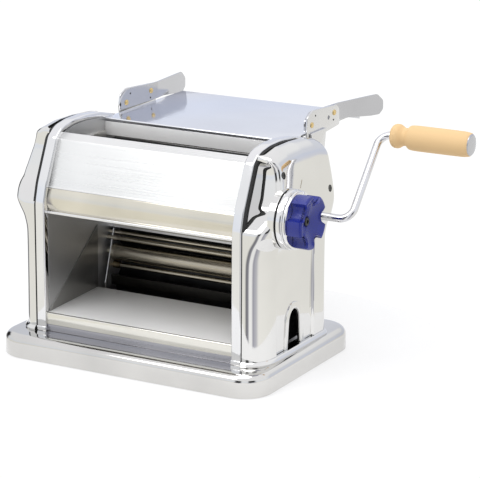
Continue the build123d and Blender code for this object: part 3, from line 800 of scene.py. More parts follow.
# --------------------------------------------------------------------------------------
# Casings
# --------------------------------------------------------------------------------------
@dataclass
class Casing:
    """One of the two cast side casings: a bulged shell, rounded at its front, top and rear.

    Lines and places are (y, z) or (z, x) pairs of the right-hand casing; roundings are (depth, reach).
    """

    side: Side
    wall: float = 2.4
    foot_z: float = 28.0
    lower_x: float = 143.6
    corner_depth: float = 20.0
    corner_reach: float = 31.0
    front_line: tuple[Point2, ...] = ((-81.5, 28), (-81.5, 161), (-68, 175.5), (-60.5, 181),
                                      (-55, 192), (-48.6, 211), (-47.6, 221), (-52.5, 227),
                                      (-50.5, 232.3))
    top_line: tuple[Point2, ...] = ((-50.5, 232.3), (-24, 236.3), (4, 236.4), (34, 234.6), (52, 231),
                                    (61.5, 223))
    side_line: tuple[Point2, ...] = ((24, 144.2), (110, 143.6), (128, 143.8), (142, 146), (156, 151),
                                     (171, 153.3), (184, 151.8), (216, 145.2), (240, 140))
    rear_rounding: Point2 = (9.0, 9.5)
    top_rounding: Point2 = (14.0, 14.0)
    recess_depth: float = 2.8
    recess_front: Point2 = (-49.4, -46.8)
    recess_rear: Point2 = (30.0, 32.6)
    recess_fade: Point2 = (126.0, 156.0)
    recess_edges: tuple[float, ...] = (0.222, 0.244, 0.775, 0.797)
    crown_share: float = 0.115
    rear_share: float = 0.07
    arch_centre: float = -8.0
    arch_half: float = 13.5
    arch_top: float = 67.5
    screws: tuple[Point2, ...] = ((-41, 213), (48, 182))
    screw_hole: float = 3.8
    shaft_hole: float = 8.8
    # Outline and place of a black sheet of painted shade behind the arch opening.
    arch_shade_outline: tuple[Point2, ...] = ((-30, 26), (-30, 76), (57, 76), (57, 26))
    arch_shade_places: Point2 = (124.5, 125.5)
    mark: tuple[Point2, Point2] = ((-13.0, 195.0), (-7.0, 202.0))

    def __post_init__(self) -> None:
        """Take the open edge, the rear and the roller's axis from the frame."""
        box = Extent.of("right_casing")
        self.open_x = box.low.x + 0.7
        self.rear_y = Extent.of("right_trim_band").high.y
        roller = Extent.of("rear_roller").centre
        self.drive_axis = (roller.y, roller.z)

    def outline(self, line: Sequence[Point2], radius: float, at: np.ndarray) -> np.ndarray:
        """Points at shares of the length of a rounded line.

        Args:
            line: The line's (y, z) points.
            radius: Radius at its corners.
            at: Shares of its length, from 0 to 1.

        Returns:
            One (y, z) point for each share.
        """
        points = np.array(rounded(line, radius, closed=False), float)
        lengths = np.concatenate([[0], np.cumsum(np.linalg.norm(np.diff(points, axis=0), axis=1))])
        place = at * lengths[-1]
        return np.stack([np.interp(place, lengths, points[:, k]) for k in (0, 1)], axis=-1)

    def surface(self) -> Shape:
        """Lay out the casing's outside, from its open edge over the front, top and rear.

        Returns:
            The open surface of the right-hand casing.
        """
        bottom_z, width = self.front_line[0][1], self.rear_y - self.front_line[0][0]
        quarter = 1 - np.cos(np.radians(np.linspace(0, 90, 10)))
        height_shares = np.concatenate([np.linspace(0, 1 - self.crown_share, 86)[:-1],
                                        1 - self.crown_share * quarter[::-1]])
        height = bottom_z + height_shares * (self.top_line[0][1] - bottom_z)
        deep, wide, foot = self.corner_depth, self.corner_reach, self.foot_z
        front_depth = smooth_through(((foot, deep), (138, deep), (168, 10), (190, 8), (240, 8)), height)
        front_reach = smooth_through(((foot, wide), (120, wide), (150, 22), (176, 9), (190, 6), (240, 6)),
                                     height)
        first, second, third, fourth = self.recess_edges
        rows = []
        for v, depth, reach in zip(height_shares, front_depth, front_reach):
            share = reach / width
            columns = [share * quarter, np.linspace(share, first, 9)[1:-1], np.linspace(first, second, 7),
                       np.linspace(second, third, 24)[1:-1], np.linspace(third, fourth, 7),
                       np.linspace(fourth, 1 - self.rear_share, 8)[1:-1],
                       1 - self.rear_share * quarter[::-1]]
            rows.append(self.row(np.concatenate(columns), v, depth, reach))
        return grid_shape(np.array(rows))

    def row(self, u: np.ndarray, v: float, depth: float, reach: float) -> np.ndarray:
        """One line of points from the open front edge to the open rear edge.

        Args:
            u: Shares of the way from front to rear.
            v: Share of the way from foot to top.
            depth: How far the front edge is rounded back in X.
            reach: How far that rounding runs towards the rear.

        Returns:
            The points, with those of the front and rear walls.
        """
        at = np.full_like(u, v)
        front = self.front_line
        rear_line = ((self.rear_y, self.foot_z), (self.rear_y, 212), self.top_line[-1])
        a, b = self.outline(front, 7, at), self.outline(rear_line, 5, at)
        low = np.stack([front[0][0] + u * (self.rear_y - front[0][0]), np.full_like(u, self.foot_z)],
                       axis=-1)
        top = self.outline(self.top_line, 22, u)
        corners = [np.array(p, float) for p in (front[0], rear_line[0], front[-1], rear_line[-1])]
        uu = u[:, None]
        yz = ((1 - uu) * a + uu * b + (1 - v) * low + v * top
              - ((1 - uu) * (1 - v) * corners[0] + uu * (1 - v) * corners[1]
                 + (1 - uu) * v * corners[2] + uu * v * corners[3]))
        x = smooth_through(self.side_line, yz[:, 1]) - self.recess(yz[:, 0], yz[:, 1])
        for distance, drop, over in ((np.linalg.norm(yz - a, axis=1), depth, reach),
                                     (np.linalg.norm(yz - b, axis=1), *self.rear_rounding),
                                     (np.linalg.norm(yz - top, axis=1), *self.top_rounding)):
            t = np.clip(1 - distance / over, 0, 1)
            x = x - drop * (1 - np.sqrt(1 - t * t))
        x = np.maximum(x, self.open_x + 0.2)
        middle = np.column_stack([x, yz])
        wall_steps = np.linspace(0, 1, 6)[:-1]
        front_wall = [(self.open_x + (x[0] - self.open_x) * s, yz[0, 0], yz[0, 1]) for s in wall_steps]
        rear_wall = [(self.open_x + (x[-1] - self.open_x) * s, yz[-1, 0], yz[-1, 1])
                     for s in wall_steps[::-1]]
        return np.concatenate([front_wall, middle, rear_wall])

    def recess(self, y: np.ndarray, z: np.ndarray) -> np.ndarray:
        """Depth of the sunk panel under the knob and round the clamp arch."""
        across = step_up(y, *self.recess_front) * (1 - step_up(y, *self.recess_rear))
        return self.recess_depth * across * (1 - step_up(z, *self.recess_fade))

    def arch(self, grow: float, foot: float) -> list[Point2]:
        """Outline of the clamp arch.

        Args:
            grow: How much wider and taller than the opening it is.
            foot: Height at which it starts.

        Returns:
            Its (y, z) points.
        """
        half, top, draft, rise = self.arch_half + grow, self.arch_top + grow, 2.5, 1.15
        tip = [(self.arch_centre + (half - draft) * math.cos(math.radians(a)),
                top - (half - draft) * rise * (1 - math.sin(math.radians(a)))) for a in range(0, 181, 12)]
        return [(self.arch_centre + half, foot), *tip, (self.arch_centre - half, foot)]

    def lip(self) -> Shape:
        """Raised border round the clamp arch.

        Returns:
            The right-hand border.
        """
        foot, outer_grow, inner_grow = self.foot_z + 0.5, 7.5, 0.4
        outer, inner = self.arch(outer_grow, foot), self.arch(inner_grow, foot)
        face_x = self.lower_x - self.recess_depth
        return prism_x([*outer, *inner[::-1]], face_x - 0.6, face_x + 1.5)

    def foot(self) -> Shape:
        """Rolled lip where the casing stands on the base.

        Returns:
            The right-hand lip, an open strip.
        """
        low, high = Extent.of("base_plate").high.z, self.foot_z + 0.6
        section = [(0.0, low), (3.1, low), (3.6, low + 1.4), (3.0, low + 2.9), (1.2, high), (-1.5, high)]
        front = self.front_line[0][0]
        corner = [(self.lower_x - self.corner_depth * (1 - math.sin(a)),
                   front + self.corner_reach * (1 - math.cos(a)))
                  for a in np.radians(np.linspace(0, 90, 16))]
        rear = rounded([corner[-1], (self.lower_x, self.rear_y), (self.open_x, self.rear_y)],
                       [0, 9, 0], closed=False, steps=12)
        line = np.array([(self.open_x, front), *corner, *rear[1:]], float)
        along = np.gradient(line, axis=0)
        along /= np.linalg.norm(along, axis=1)[:, None]
        out = np.stack([along[:, 1], -along[:, 0]], axis=1)
        rows = np.array([[(*(place + normal * reach), z) for reach, z in section]
                         for place, normal in zip(line, out)])
        return grid_shape(rows)

    def build(self) -> None:
        """Make the shell, its lip, foot, screws and a black sheet of painted shade behind the clamp arch,
        and on the right its index mark.
        """
        word = self.side.word
        shape = self.surface().mirrored(self.side)
        shell = bpy.data.objects.new("casing_form", shape.mesh("casing_form"))
        bpy.context.scene.collection.objects.link(shell)
        solid = shell.modifiers.new("wall", "SOLIDIFY")
        solid.thickness, solid.offset, solid.use_even_offset = self.wall * MM, -1.0, True
        apply_modifiers(shell)
        far, near = 170.0, 136.0
        cutters = [prism_x(self.arch(0, 20), near - 10, far)]
        for y, z in self.screws:
            seat = float(smooth_through(self.side_line, np.array([z]))[0]) - 1.4
            hole = self.screw_hole
            cutters.append(turned([(seat, 0), (seat, hole), (far, hole), (far, 0)], (y, z), 32))
        if self.side is Side.RIGHT:
            hole = self.shaft_hole
            cutters.append(turned([(near, 0), (near, hole), (far, hole), (far, 0)], self.drive_axis, 48))
        cut_away(shell, [cutter.mirrored(self.side) for cutter in cutters])
        shell.name = shell.data.name = f"casing_shell_{word}"
        smooth(shell.data, 32)
        dress(shell, CASING)
        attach(shell, Body.FRAME.value)
        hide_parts(f"{word}_casing")
        LOG.info("%s: %d faces", shell.name, len(shell.data.polygons))
        make_piece(f"arch_lip_{word}", self.lip().mirrored(self.side), CASING, Body.FRAME,
                   edge=Edge(0.7, 4))
        make_piece(f"casing_foot_{word}", self.foot().mirrored(self.side), CASING, Body.FRAME)
        # Painted shade: a black sheet behind the clamp arch that makes the opening read dark.
        guard = prism_x(rounded(self.arch_shade_outline, 5), *self.arch_shade_places)
        make_piece(f"clamp_guard_{word}", guard.mirrored(self.side), RUBBER, Body.FRAME)
        self.build_screws()
        if self.side is Side.RIGHT:
            self.build_index_mark()

    def build_screws(self) -> None:
        """Cross-slotted heads at the bottom of their sunk holes."""
        heads = Shape()
        for y, z in self.screws:
            seat = float(smooth_through(self.side_line, np.array([z]))[0]) - 1.6
            heads.add(turned([(seat - 0.5, 0), (seat - 0.5, 3.4), (seat, 3.5), (seat + 0.5, 3.0),
                              (seat + 0.8, 1.9), (seat + 0.85, 1.2), (seat - 0.2, 0.9), (seat - 0.2, 0)],
                             (y, z), 32))
        make_piece(f"casing_screw_heads_{self.side.word}", heads.mirrored(self.side), DARK, Body.FRAME)

    def build_index_mark(self) -> None:
        """Short engraved line that the dial ring is read against."""
        faces = smooth_through(self.side_line, np.array([z for _, z in self.mark]))
        mark = tube([(float(x) - 0.1, y, z) for x, (y, z) in zip(faces, self.mark)], 0.35, 12)
        make_piece("index_mark", mark, DULL_BRASS, Body.FRAME)


# --------------------------------------------------------------------------------------
# Sheet metal
# --------------------------------------------------------------------------------------
@dataclass
class SheetWork:
    """Base, trim bands, covers, chute and tray."""

    inner_half: float = 110.0
    band_thickness: float = 7.5
    gap_shade_depth: float = 4.4
    bracket_edge: tuple[Point3, ...] = ((104.7, 25.2, 50.5), (104.7, 34, 78.5), (104.7, 43, 106.5))
    # Section of a black sheet of painted shade behind the rollers.
    rear_shade_section: tuple[Point2, ...] = ((55.0, 26), (56.2, 26), (56.2, 203), (55.0, 203))

    def base(self) -> None:
        """Pressed base with a rolled top edge and an open underside."""
        box = Extent.of("base_plate")
        half_x, half_y = box.high.x, (box.high.y - box.low.y) / 2
        centre_y, roll, corner, wall = box.centre.y, 8.0, 31.0, 2.0
        profile = [(wall, box.low.z), (0.5, box.low.z), (0.0, box.low.z + 0.6)]
        profile += [(roll - roll * math.cos(a), box.high.z - roll + roll * math.sin(a))
                    for a in np.radians(np.linspace(0, 90, 12))]
        profile += [(roll + 4, box.high.z)]
        under = [(wall, box.low.z), (wall, box.high.z - roll), (roll, box.high.z - wall),
                 (roll + 4, box.high.z - wall)]
        rings = [rounded_rectangle(half_x - inset, half_y - inset, corner - inset, centre_y, z)
                 for inset, z in [*under[::-1], *profile[1:]]]
        make_piece("base_shell", ring_stack(rings), BASE, Body.FRAME, ["base_plate"], sharp=50)

    def trim_band(self, side: Side) -> None:
        """Make the bright border band that runs up the front and over the top, with a small shoe.

        Args:
            side: The end of the machine that it is for.
        """
        band = Extent.of("right_trim_band")
        front, rear, foot, thick = band.low.y, band.high.y, band.low.z, self.band_thickness
        outer = rounded([(front, foot), (front, 160.5), (-76.5, 181), (-56.5, 225.5), (-45, 234.6),
                         (-24, 238.2), (0, 238.7), (28, 236.4), (rear, 228)],
                        [0, 30, 60, 9, 30, 60, 60, 60, 0], closed=False, steps=8)
        inner = rounded([(front + thick, foot), (front + thick, 160), (-69, 179), (-51, 219),
                         (-42, 228), (-24, 232), (0, 232.6), (28, 230.4), (58, 223.4), (rear, 223.3)],
                        [0, 24, 50, 7, 20, 50, 50, 50, 3, 0], closed=False, steps=8)
        shape = prism_x([*outer, *inner[::-1]], band.low.x, band.high.x)
        make_piece(f"trim_band_{side.word}", shape.mirrored(side), TRIM, Body.FRAME,
                   [f"{side.word}_trim_band"], edge=Edge(1.5, 5))
        shoe = prism_x(rounded([(front - 0.8, foot), (front - 0.8, foot + 5), (front + thick, foot + 5),
                                (front + thick, foot)], [0, 1, 1, 0]), band.low.x - 0.2, band.high.x + 0.4)
        make_piece(f"trim_shoe_{side.word}", shoe.mirrored(side), TRIM, Body.FRAME, edge=Edge(0.8, 4))

    def gap_shade(self, side: Side) -> None:
        """Make the black strip of painted shade in the joint between a trim band and its casing, and the
        bright wall behind it.

        Args:
            side: The end of the machine that it is for.
        """
        line = rounded([(-81.0, 28), (-81.0, 160.5), (-75.5, 181), (-56.0, 224.5), (-45, 232.6),
                        (-24, 235.8), (0, 236.2), (28, 233.8), (60.5, 226)],
                       [0, 30, 60, 9, 30, 60, 60, 60, 0], closed=False, steps=8)
        low, high = Extent.of("right_trim_band").high.x - 0.3, Extent.of("right_casing").low.x + 2.2
        # Painted shade: a black strip that stands in for the shadow in the joint between trim band and
        # casing.
        strip = prism_x(thick_line(line, -self.gap_shade_depth), low, high)
        make_piece(f"casing_gasket_{side.word}", strip.mirrored(side), RUBBER, Body.FRAME)
        flank = rounded([(-77.5, 150), (-77.5, 160.5), (-71.5, 181), (-52.5, 222), (-42, 230), (-40, 200),
                         (-50, 160), (-60, 150)], 3)
        make_piece(f"trim_flank_{side.word}", prism_x(flank, low + 0.4, high - 0.6).mirrored(side), TRIM,
                   Body.FRAME)

    def strip(self, name: str, section: Sequence[Point2], finish: Finish, replaces: Sequence[str],
              edge: float = 0.4) -> None:
        """Make a part of constant section across the working width.

        Args:
            name: The piece's name.
            section: Its (y, z) points.
            finish: Its surface.
            replaces: The nodes that it stands for.
            edge: Bevel of its edges.
        """
        shape = prism_x(section, -self.inner_half + 0.1, self.inner_half - 0.1)
        make_piece(name, shape, finish, Body.FRAME, replaces, Edge(edge, 3))

    def covers(self) -> None:
        """Front cover, curved lower guard, rear cover and front sill."""
        self.strip("front_cover_sheet",
                   thick_line(rounded([(-73.0, 175.9), (-72.0, 177.6), (-52.6, 223.2), (-42.2, 228.2),
                                       (-39.5, 227.4)], [0, 0.8, 3.2, 1.4, 0], closed=False), -1.5),
                   COVER, ["front_cover"])
        arc = [(-72.3 - 3.9 * math.sin(math.pi * t * 0.9 + 0.12), 175.6 - 25.2 * t)
               for t in np.linspace(0, 1, 22)]
        self.strip("lower_guard_sheet", thick_line([*arc, (-72.6, 149.3), (-68.5, 149.6)], 1.2),
                   GUARD, ["lower_guard"])
        self.strip("guard_lip", rounded([(-76.0, 149.0), (-76.0, 152.0), (-72.8, 152.0), (-72.8, 149.0)],
                                        1.1), TRIM, [], 0.0)
        rear = Extent.of("rear_cover")
        self.strip("rear_cover_sheet",
                   thick_line(rounded([(rear.high.y, rear.low.z), (rear.high.y, 205), (50, 221),
                                       (42, 223.8)], [0, 8, 5, 0], closed=False), 1.5),
                   COVER, ["rear_cover"])
        for side in Side:
            edge = tube(self.bracket_edge, 0.75, 12)
            make_piece(f"bracket_edge_{side.word}", edge.mirrored(side), TRIM, Body.FRAME)
        # Painted shade: a black sheet behind the rollers that darkens the inside of the machine.
        self.strip("rear_shade_sheet", self.rear_shade_section, DARK, [], 0.0)
        sill = Extent.of("front_sill")
        self.strip("front_sill_bar", [(sill.low.y, sill.low.z), (sill.high.y, sill.low.z),
                                      (sill.high.y, sill.high.z), (sill.low.y, sill.high.z)],
                   SILL, ["front_sill"], 0.6)

    def chute(self) -> None:
        """Delivery chute: folded floor and two thin cheeks."""
        box = Extent.of("chute")
        front, floor_rear = box.low.y, 18.0
        floor = thick_line(rounded([(front + 2.2, 41.8), (front + 2.2, 44.2), (floor_rear, 47),
                                    (box.high.y, 38)], [0, 1.0, 2, 0], closed=False), -1.4)
        self.strip("chute_floor", floor, CHUTE, ["chute"])
        lip = thick_line(rounded([(front, box.low.z + 0.3), (front, 44), (front + 2.4, 44.1)],
                                 [0, 1.7, 0], closed=False), -1.3)
        self.strip("chute_front_fold", lip, DROP, [])
        for side in Side:
            # Cheeks take the darker sheet: painted shade on the inner walls.
            cheek = prism_x([(front + 3, 44.2), (floor_rear, 47.2), (floor_rear, 116)],
                            self.inner_half - 1, self.inner_half - 0.1)
            make_piece(f"chute_cheek_{side.word}", cheek.mirrored(side), CHEEK, Body.FRAME,
                       edge=Edge(0.25, 2))

    def tray(self) -> None:
        """Feed tray with a folded front flange and a hemmed rear edge."""
        box = Extent.of("feed_tray")
        front, top = box.low.y, box.high.z
        sheet = thick_line(rounded([(front, top - 2.6), (front, top), (box.high.y, top),
                                    (box.high.y, top - 8)], [0, 1.6, 2.6, 0], closed=False, steps=9), -1.5)
        self.strip("feed_tray_sheet", sheet, TRAY, ["feed_tray"], 0.3)
        gap = [(front + 1.2, top - 4.2), (front + 2.4, top - 4.2), (front + 2.4, top - 1.8),
               (front + 1.2, top - 1.8)]
        self.strip("tray_shadow_gap", gap, SILL, [], 0.0)
        flange = [(front + 0.1, box.low.z), (front + 1.4, box.low.z), (front + 1.4, top - 3.8),
                  (front + 0.1, top - 3.8)]
        self.strip("tray_front_flange", flange, FLANGE, [], 0.4)

    def build(self) -> None:
        """Make every sheet part."""
        self.base()
        for side in Side:
            self.trim_band(side)
            self.gap_shade(side)
        self.covers()
        self.chute()
        self.tray()


@dataclass
class Guides:
    """The two adjustable side guides over the tray, with their brackets and screws."""

    bend_y: float = 145.0
    flare: float = 13.0
    thickness: float = 1.6
    wing_outline: tuple[Point2, ...] = ((69, 231), (69, 243), (81, 251), (131, 249), (216, 246.5),
                                        (227, 238), (227, 228), (220, 223.6), (204, 224.5), (160, 230.2))
    bracket_outline: tuple[Point2, ...] = ((70, 223.4), (69, 236), (71, 247), (83, 252), (136, 248.5),
                                           (142.5, 244), (144, 226), (110, 223.4))
    leg_outline: tuple[Point2, ...] = ((76, 229), (110, 229), (106, 208), (103, 192), (76, 192))
    screws: tuple[Point2, ...] = ((80, 237), (131, 241))
    dimples: tuple[Point2, ...] = ((88, 245.5), (129.5, 233.5))

    def wing(self) -> Shape:
        """Plate bent outwards behind the bracket.

        Returns:
            The right-hand wing.
        """
        box = Extent.of("right_guide_wing")
        outline = np.array(rounded(self.wing_outline, [2, 6, 10, 40, 9, 5, 4, 4, 30, 30], steps=8))
        low_y, high_y = outline[:, 0].min() + 1e-4, outline[:, 0].max() - 1e-4
        ease = (1 - np.cos(np.radians(np.linspace(0, 90, 12)))) * 12
        stations = np.unique(np.concatenate([low_y + ease, [self.bend_y - 2, self.bend_y, self.bend_y + 2],
                                             np.linspace(low_y + 12, high_y - 12, 14), high_y - ease]))
        end = box.high.y
        rows = []
        for y in stations:
            crossings = []
            for (y0, z0), (y1, z1) in zip(outline, np.roll(outline, -1, axis=0)):
                if (y0 - y) * (y1 - y) <= 0 and y0 != y1:
                    crossings.append(z0 + (z1 - z0) * (y - y0) / (y1 - y0))
            low, high = min(crossings), max(crossings)
            x = box.low.x + 0.15 + self.flare * max(0.0, y - self.bend_y) / (end - self.bend_y)
            rows.append([(x, y, low), (x, y, high), (x + self.thickness, y, high),
                         (x + self.thickness, y, low)])
        return ring_stack(rows)

    def build(self) -> None:
        """Make wings, brackets and screws for both sides."""
        for side in Side:
            word = side.word
            make_piece(f"guide_wing_{word}", self.wing().mirrored(side), GUIDE, Body.FRAME,
                       [f"{word}_guide_wing"], sharp=30)
            box = Extent.of("right_guide_bracket")
            plate = prism_x(rounded(self.bracket_outline, [1, 3, 4, 7, 6, 5, 3, 1]), box.low.x,
                            box.low.x + 1.9)
            plate.add(prism_x(rounded(self.leg_outline, 1.5), box.high.x - 2, box.high.x - 0.1))
            bracket = make_piece(f"guide_bracket_{word}", plate.mirrored(side), BRACKET, Body.FRAME,
                                 [f"{word}_guide_bracket"], Edge(0.35, 3))
            hole = turned([(box.low.x - 3, 0), (box.low.x - 3, 2.2), (box.high.x, 2.2), (box.high.x, 0)],
                          (118, 238), 24)
            cut_away(bracket, [hole.mirrored(side)])
            smooth(bracket.data, 35)
            self.build_screws(side)

    def build_screws(self, side: Side) -> None:
        """Make domed brass screws inside and out, and pressed dimples beside them.

        Args:
            side: The end of the machine that they are for.
        """
        inner = Extent.of("right_guide_wing").low.x + 0.15
        outer = Extent.of("right_guide_bracket").low.x + 1.9
        heads, pips = Shape(), Shape()
        dome = [(0.0, 3.0), (0.5, 3.0), (1.0, 2.6), (1.35, 1.7), (1.45, 0.7), (1.45, 0.0)]
        for place in self.screws:
            heads.add(turned([(inner + 0.3, 0)] + [(inner - x, r) for x, r in dome], place, 28))
            heads.add(turned([(outer - 0.3, 0)] + [(outer + x, r) for x, r in dome], place, 28))
        for place in self.dimples:
            pips.add(turned([(inner + 0.2, 0), (inner, 1.1), (inner - 0.35, 0.8), (inner - 0.45, 0)],
                            place, 20))
            pips.add(turned([(outer - 0.2, 0), (outer, 1.1), (outer + 0.35, 0.8), (outer + 0.45, 0)],
                            place, 20))
        replaces = ["guide_screws"] if side is Side.RIGHT else []
        make_piece(f"guide_screw_heads_{side.word}", heads.mirrored(side), BRASS, Body.FRAME, replaces)
        make_piece(f"guide_pips_{side.word}", pips.mirrored(side), DARK, Body.FRAME)


# --------------------------------------------------------------------------------------
# Knob
# --------------------------------------------------------------------------------------
@dataclass
class GapKnob:
    """Fixed collar, turning dial ring and lobed blue knob on one axis."""

    lobes: int = 5
    first_notch: float = 4.0
    notch_depth: float = 8.0
    notch_radius: float = 9.6
    dish_x: float = 172.0
    skirt_length: float = 8.6

    def __post_init__(self) -> None:
        """Take the axis and the stack of parts from the frame."""
        centre = Extent.of("adjuster_shaft").centre
        self.axis = (centre.y, centre.z)
        self.collar = Extent.of("knob_collar")
        self.ring = Extent.of("dial_ring")
        self.knob = Extent.of("adjusting_knob")

    def outline(self, radius: float, angles: np.ndarray) -> np.ndarray:
        """Radius of the lobed outline, with eased edges at the notches.

        Args:
            radius: Radius over the lobes.
            angles: Angles about the axis, in radians.

        Returns:
            One radius for each angle.
        """
        pitch = 2 * math.pi / self.lobes
        offset = (angles - math.radians(self.first_notch) + pitch / 2) % pitch - pitch / 2
        centre = radius - self.notch_depth + self.notch_radius
        inside = self.notch_radius**2 - (centre * np.sin(offset))**2
        valley = np.where(inside > 0, centre * np.cos(offset) - np.sqrt(np.maximum(inside, 0)), radius + 9)
        ease = 1.6
        blend = np.clip(0.5 + 0.5 * (radius - valley) / ease, 0, 1)
        return valley * blend + radius * (1 - blend) - ease * blend * (1 - blend)

    def knob_shape(self) -> Shape:
        """Lobed body with an eased rim and a conical hollow in its face.

        Returns:
            The closed body.
        """
        angles = 2 * math.pi * np.arange(360) / 360
        radius = (self.knob.high.z - self.knob.low.z) / 2
        back, front = self.knob.low.x, self.knob.high.x
        full = self.outline(radius, angles)
        rim = [(back, -1.0), (back + 0.3, -0.3), (back + 1.0, 0.0), (front - 2.6, 0.0)]
        rings = [self.ring_at(angles, np.full(360, x), full + inset) for x, inset in rim]
        edge, hub = radius - 3.2, 5.2
        slope = (front - self.dish_x - 1.0) / (edge - hub)
        turn = 2.4
        for inset, drop in ((0.0, 2.6), (0.25, 1.5), (0.8, 0.6), (1.6, 0.15), (turn, 0.0)):
            reach = full - inset
            face = front - drop - slope * np.maximum(edge + turn - inset - full, 0)
            rings.append(self.ring_at(angles, face, reach))
        for t in np.linspace(0, 1, 12)[1:]:
            reach = (full - turn) * (1 - t) + hub * t
            face = front - slope * np.maximum(edge - reach, 0)
            rings.append(self.ring_at(angles, face - 0.4 * min(1.0, t * 8), reach))
        rings.append(self.ring_at(angles, np.full(360, self.dish_x - 0.4), np.full(360, 5.0)))
        return ring_stack(rings)

    def ring_at(self, angles: np.ndarray, places: np.ndarray, radii: np.ndarray) -> list[Point3]:
        """One ring of points about the knob's axis.

        Args:
            angles: Angle of each point.
            places: X of each point.
            radii: Distance of each point from the axis.

        Returns:
            The ring.
        """
        return [(float(x), self.axis[0] + float(r) * math.cos(a), self.axis[1] + float(r) * math.sin(a))
                for a, x, r in zip(angles, places, radii)]

    def build(self) -> None:
        """Make the collar, ring, knob and centre screw."""
        self.build_collar()
        low, high = self.ring.low.x, self.ring.high.x
        radius = (self.ring.high.z - self.ring.low.z) / 2
        disc = [(low, 0), (low, radius - 0.8), (low + 0.5, radius - 0.15), (low + 1.1, radius),
                (high - 1.3, radius), (high - 0.5, radius - 0.4), (high, radius - 1.4), (high, 0)]
        make_piece("dial_disc", turned(disc, self.axis, 128), TRIM, Body.ADJUSTER, ["dial_ring"], sharp=30)
        make_piece("lobed_knob", self.knob_shape(), BLUE, Body.ADJUSTER, ["adjusting_knob"], sharp=60)
        seat = self.dish_x - 0.4
        screw = [(seat, 0), (seat, 4.4), (seat + 1.3, 4.4), (seat + 2.0, 3.9), (seat + 2.3, 2.6),
                 (seat + 2.3, 1.9), (seat + 0.9, 1.5), (seat + 0.9, 0)]
        make_piece("knob_screw_head", turned(screw, self.axis, 48), DARK, Body.ADJUSTER, ["knob_screw"],
                   sharp=30)

    def build_collar(self) -> None:
        """Make the fixed collar: a skirt on the casing, a black ring of painted shade at the drum's foot
        and a bright drum.
        """
        low, high = self.collar.low.x + self.skirt_length, self.collar.high.x
        radius = (self.collar.high.z - self.collar.low.z) / 2
        skirt = [(low - 9, 0), (low - 9, radius), (low - 2.3, radius), (low - 2.0, radius - 0.5),
                 (low - 2.0, 0)]
        make_piece("collar_skirt", turned(skirt, self.axis, 128), CASING, Body.FRAME, sharp=30)
        # Painted shade: a black ring that stands in for the dark gap between collar and casing.
        gap_shade_ring = [(low - 2.2, 0), (low - 2.2, radius - 1.8), (low + 0.4, radius - 1.8), (low + 0.4, 0)]
        make_piece("collar_gap_shade_ring", turned(gap_shade_ring, self.axis, 96), RUBBER, Body.FRAME)
        drum = [(low, 0), (low, radius - 0.6), (low + 0.5, radius), (high - 1.6, radius),
                (high - 0.9, radius - 0.3), (high - 0.6, radius - 1.1), (high, radius - 1.4), (high, 0)]
        make_piece("collar_drum", turned(drum, self.axis, 128), TRIM, Body.FRAME, ["knob_collar"], sharp=30)


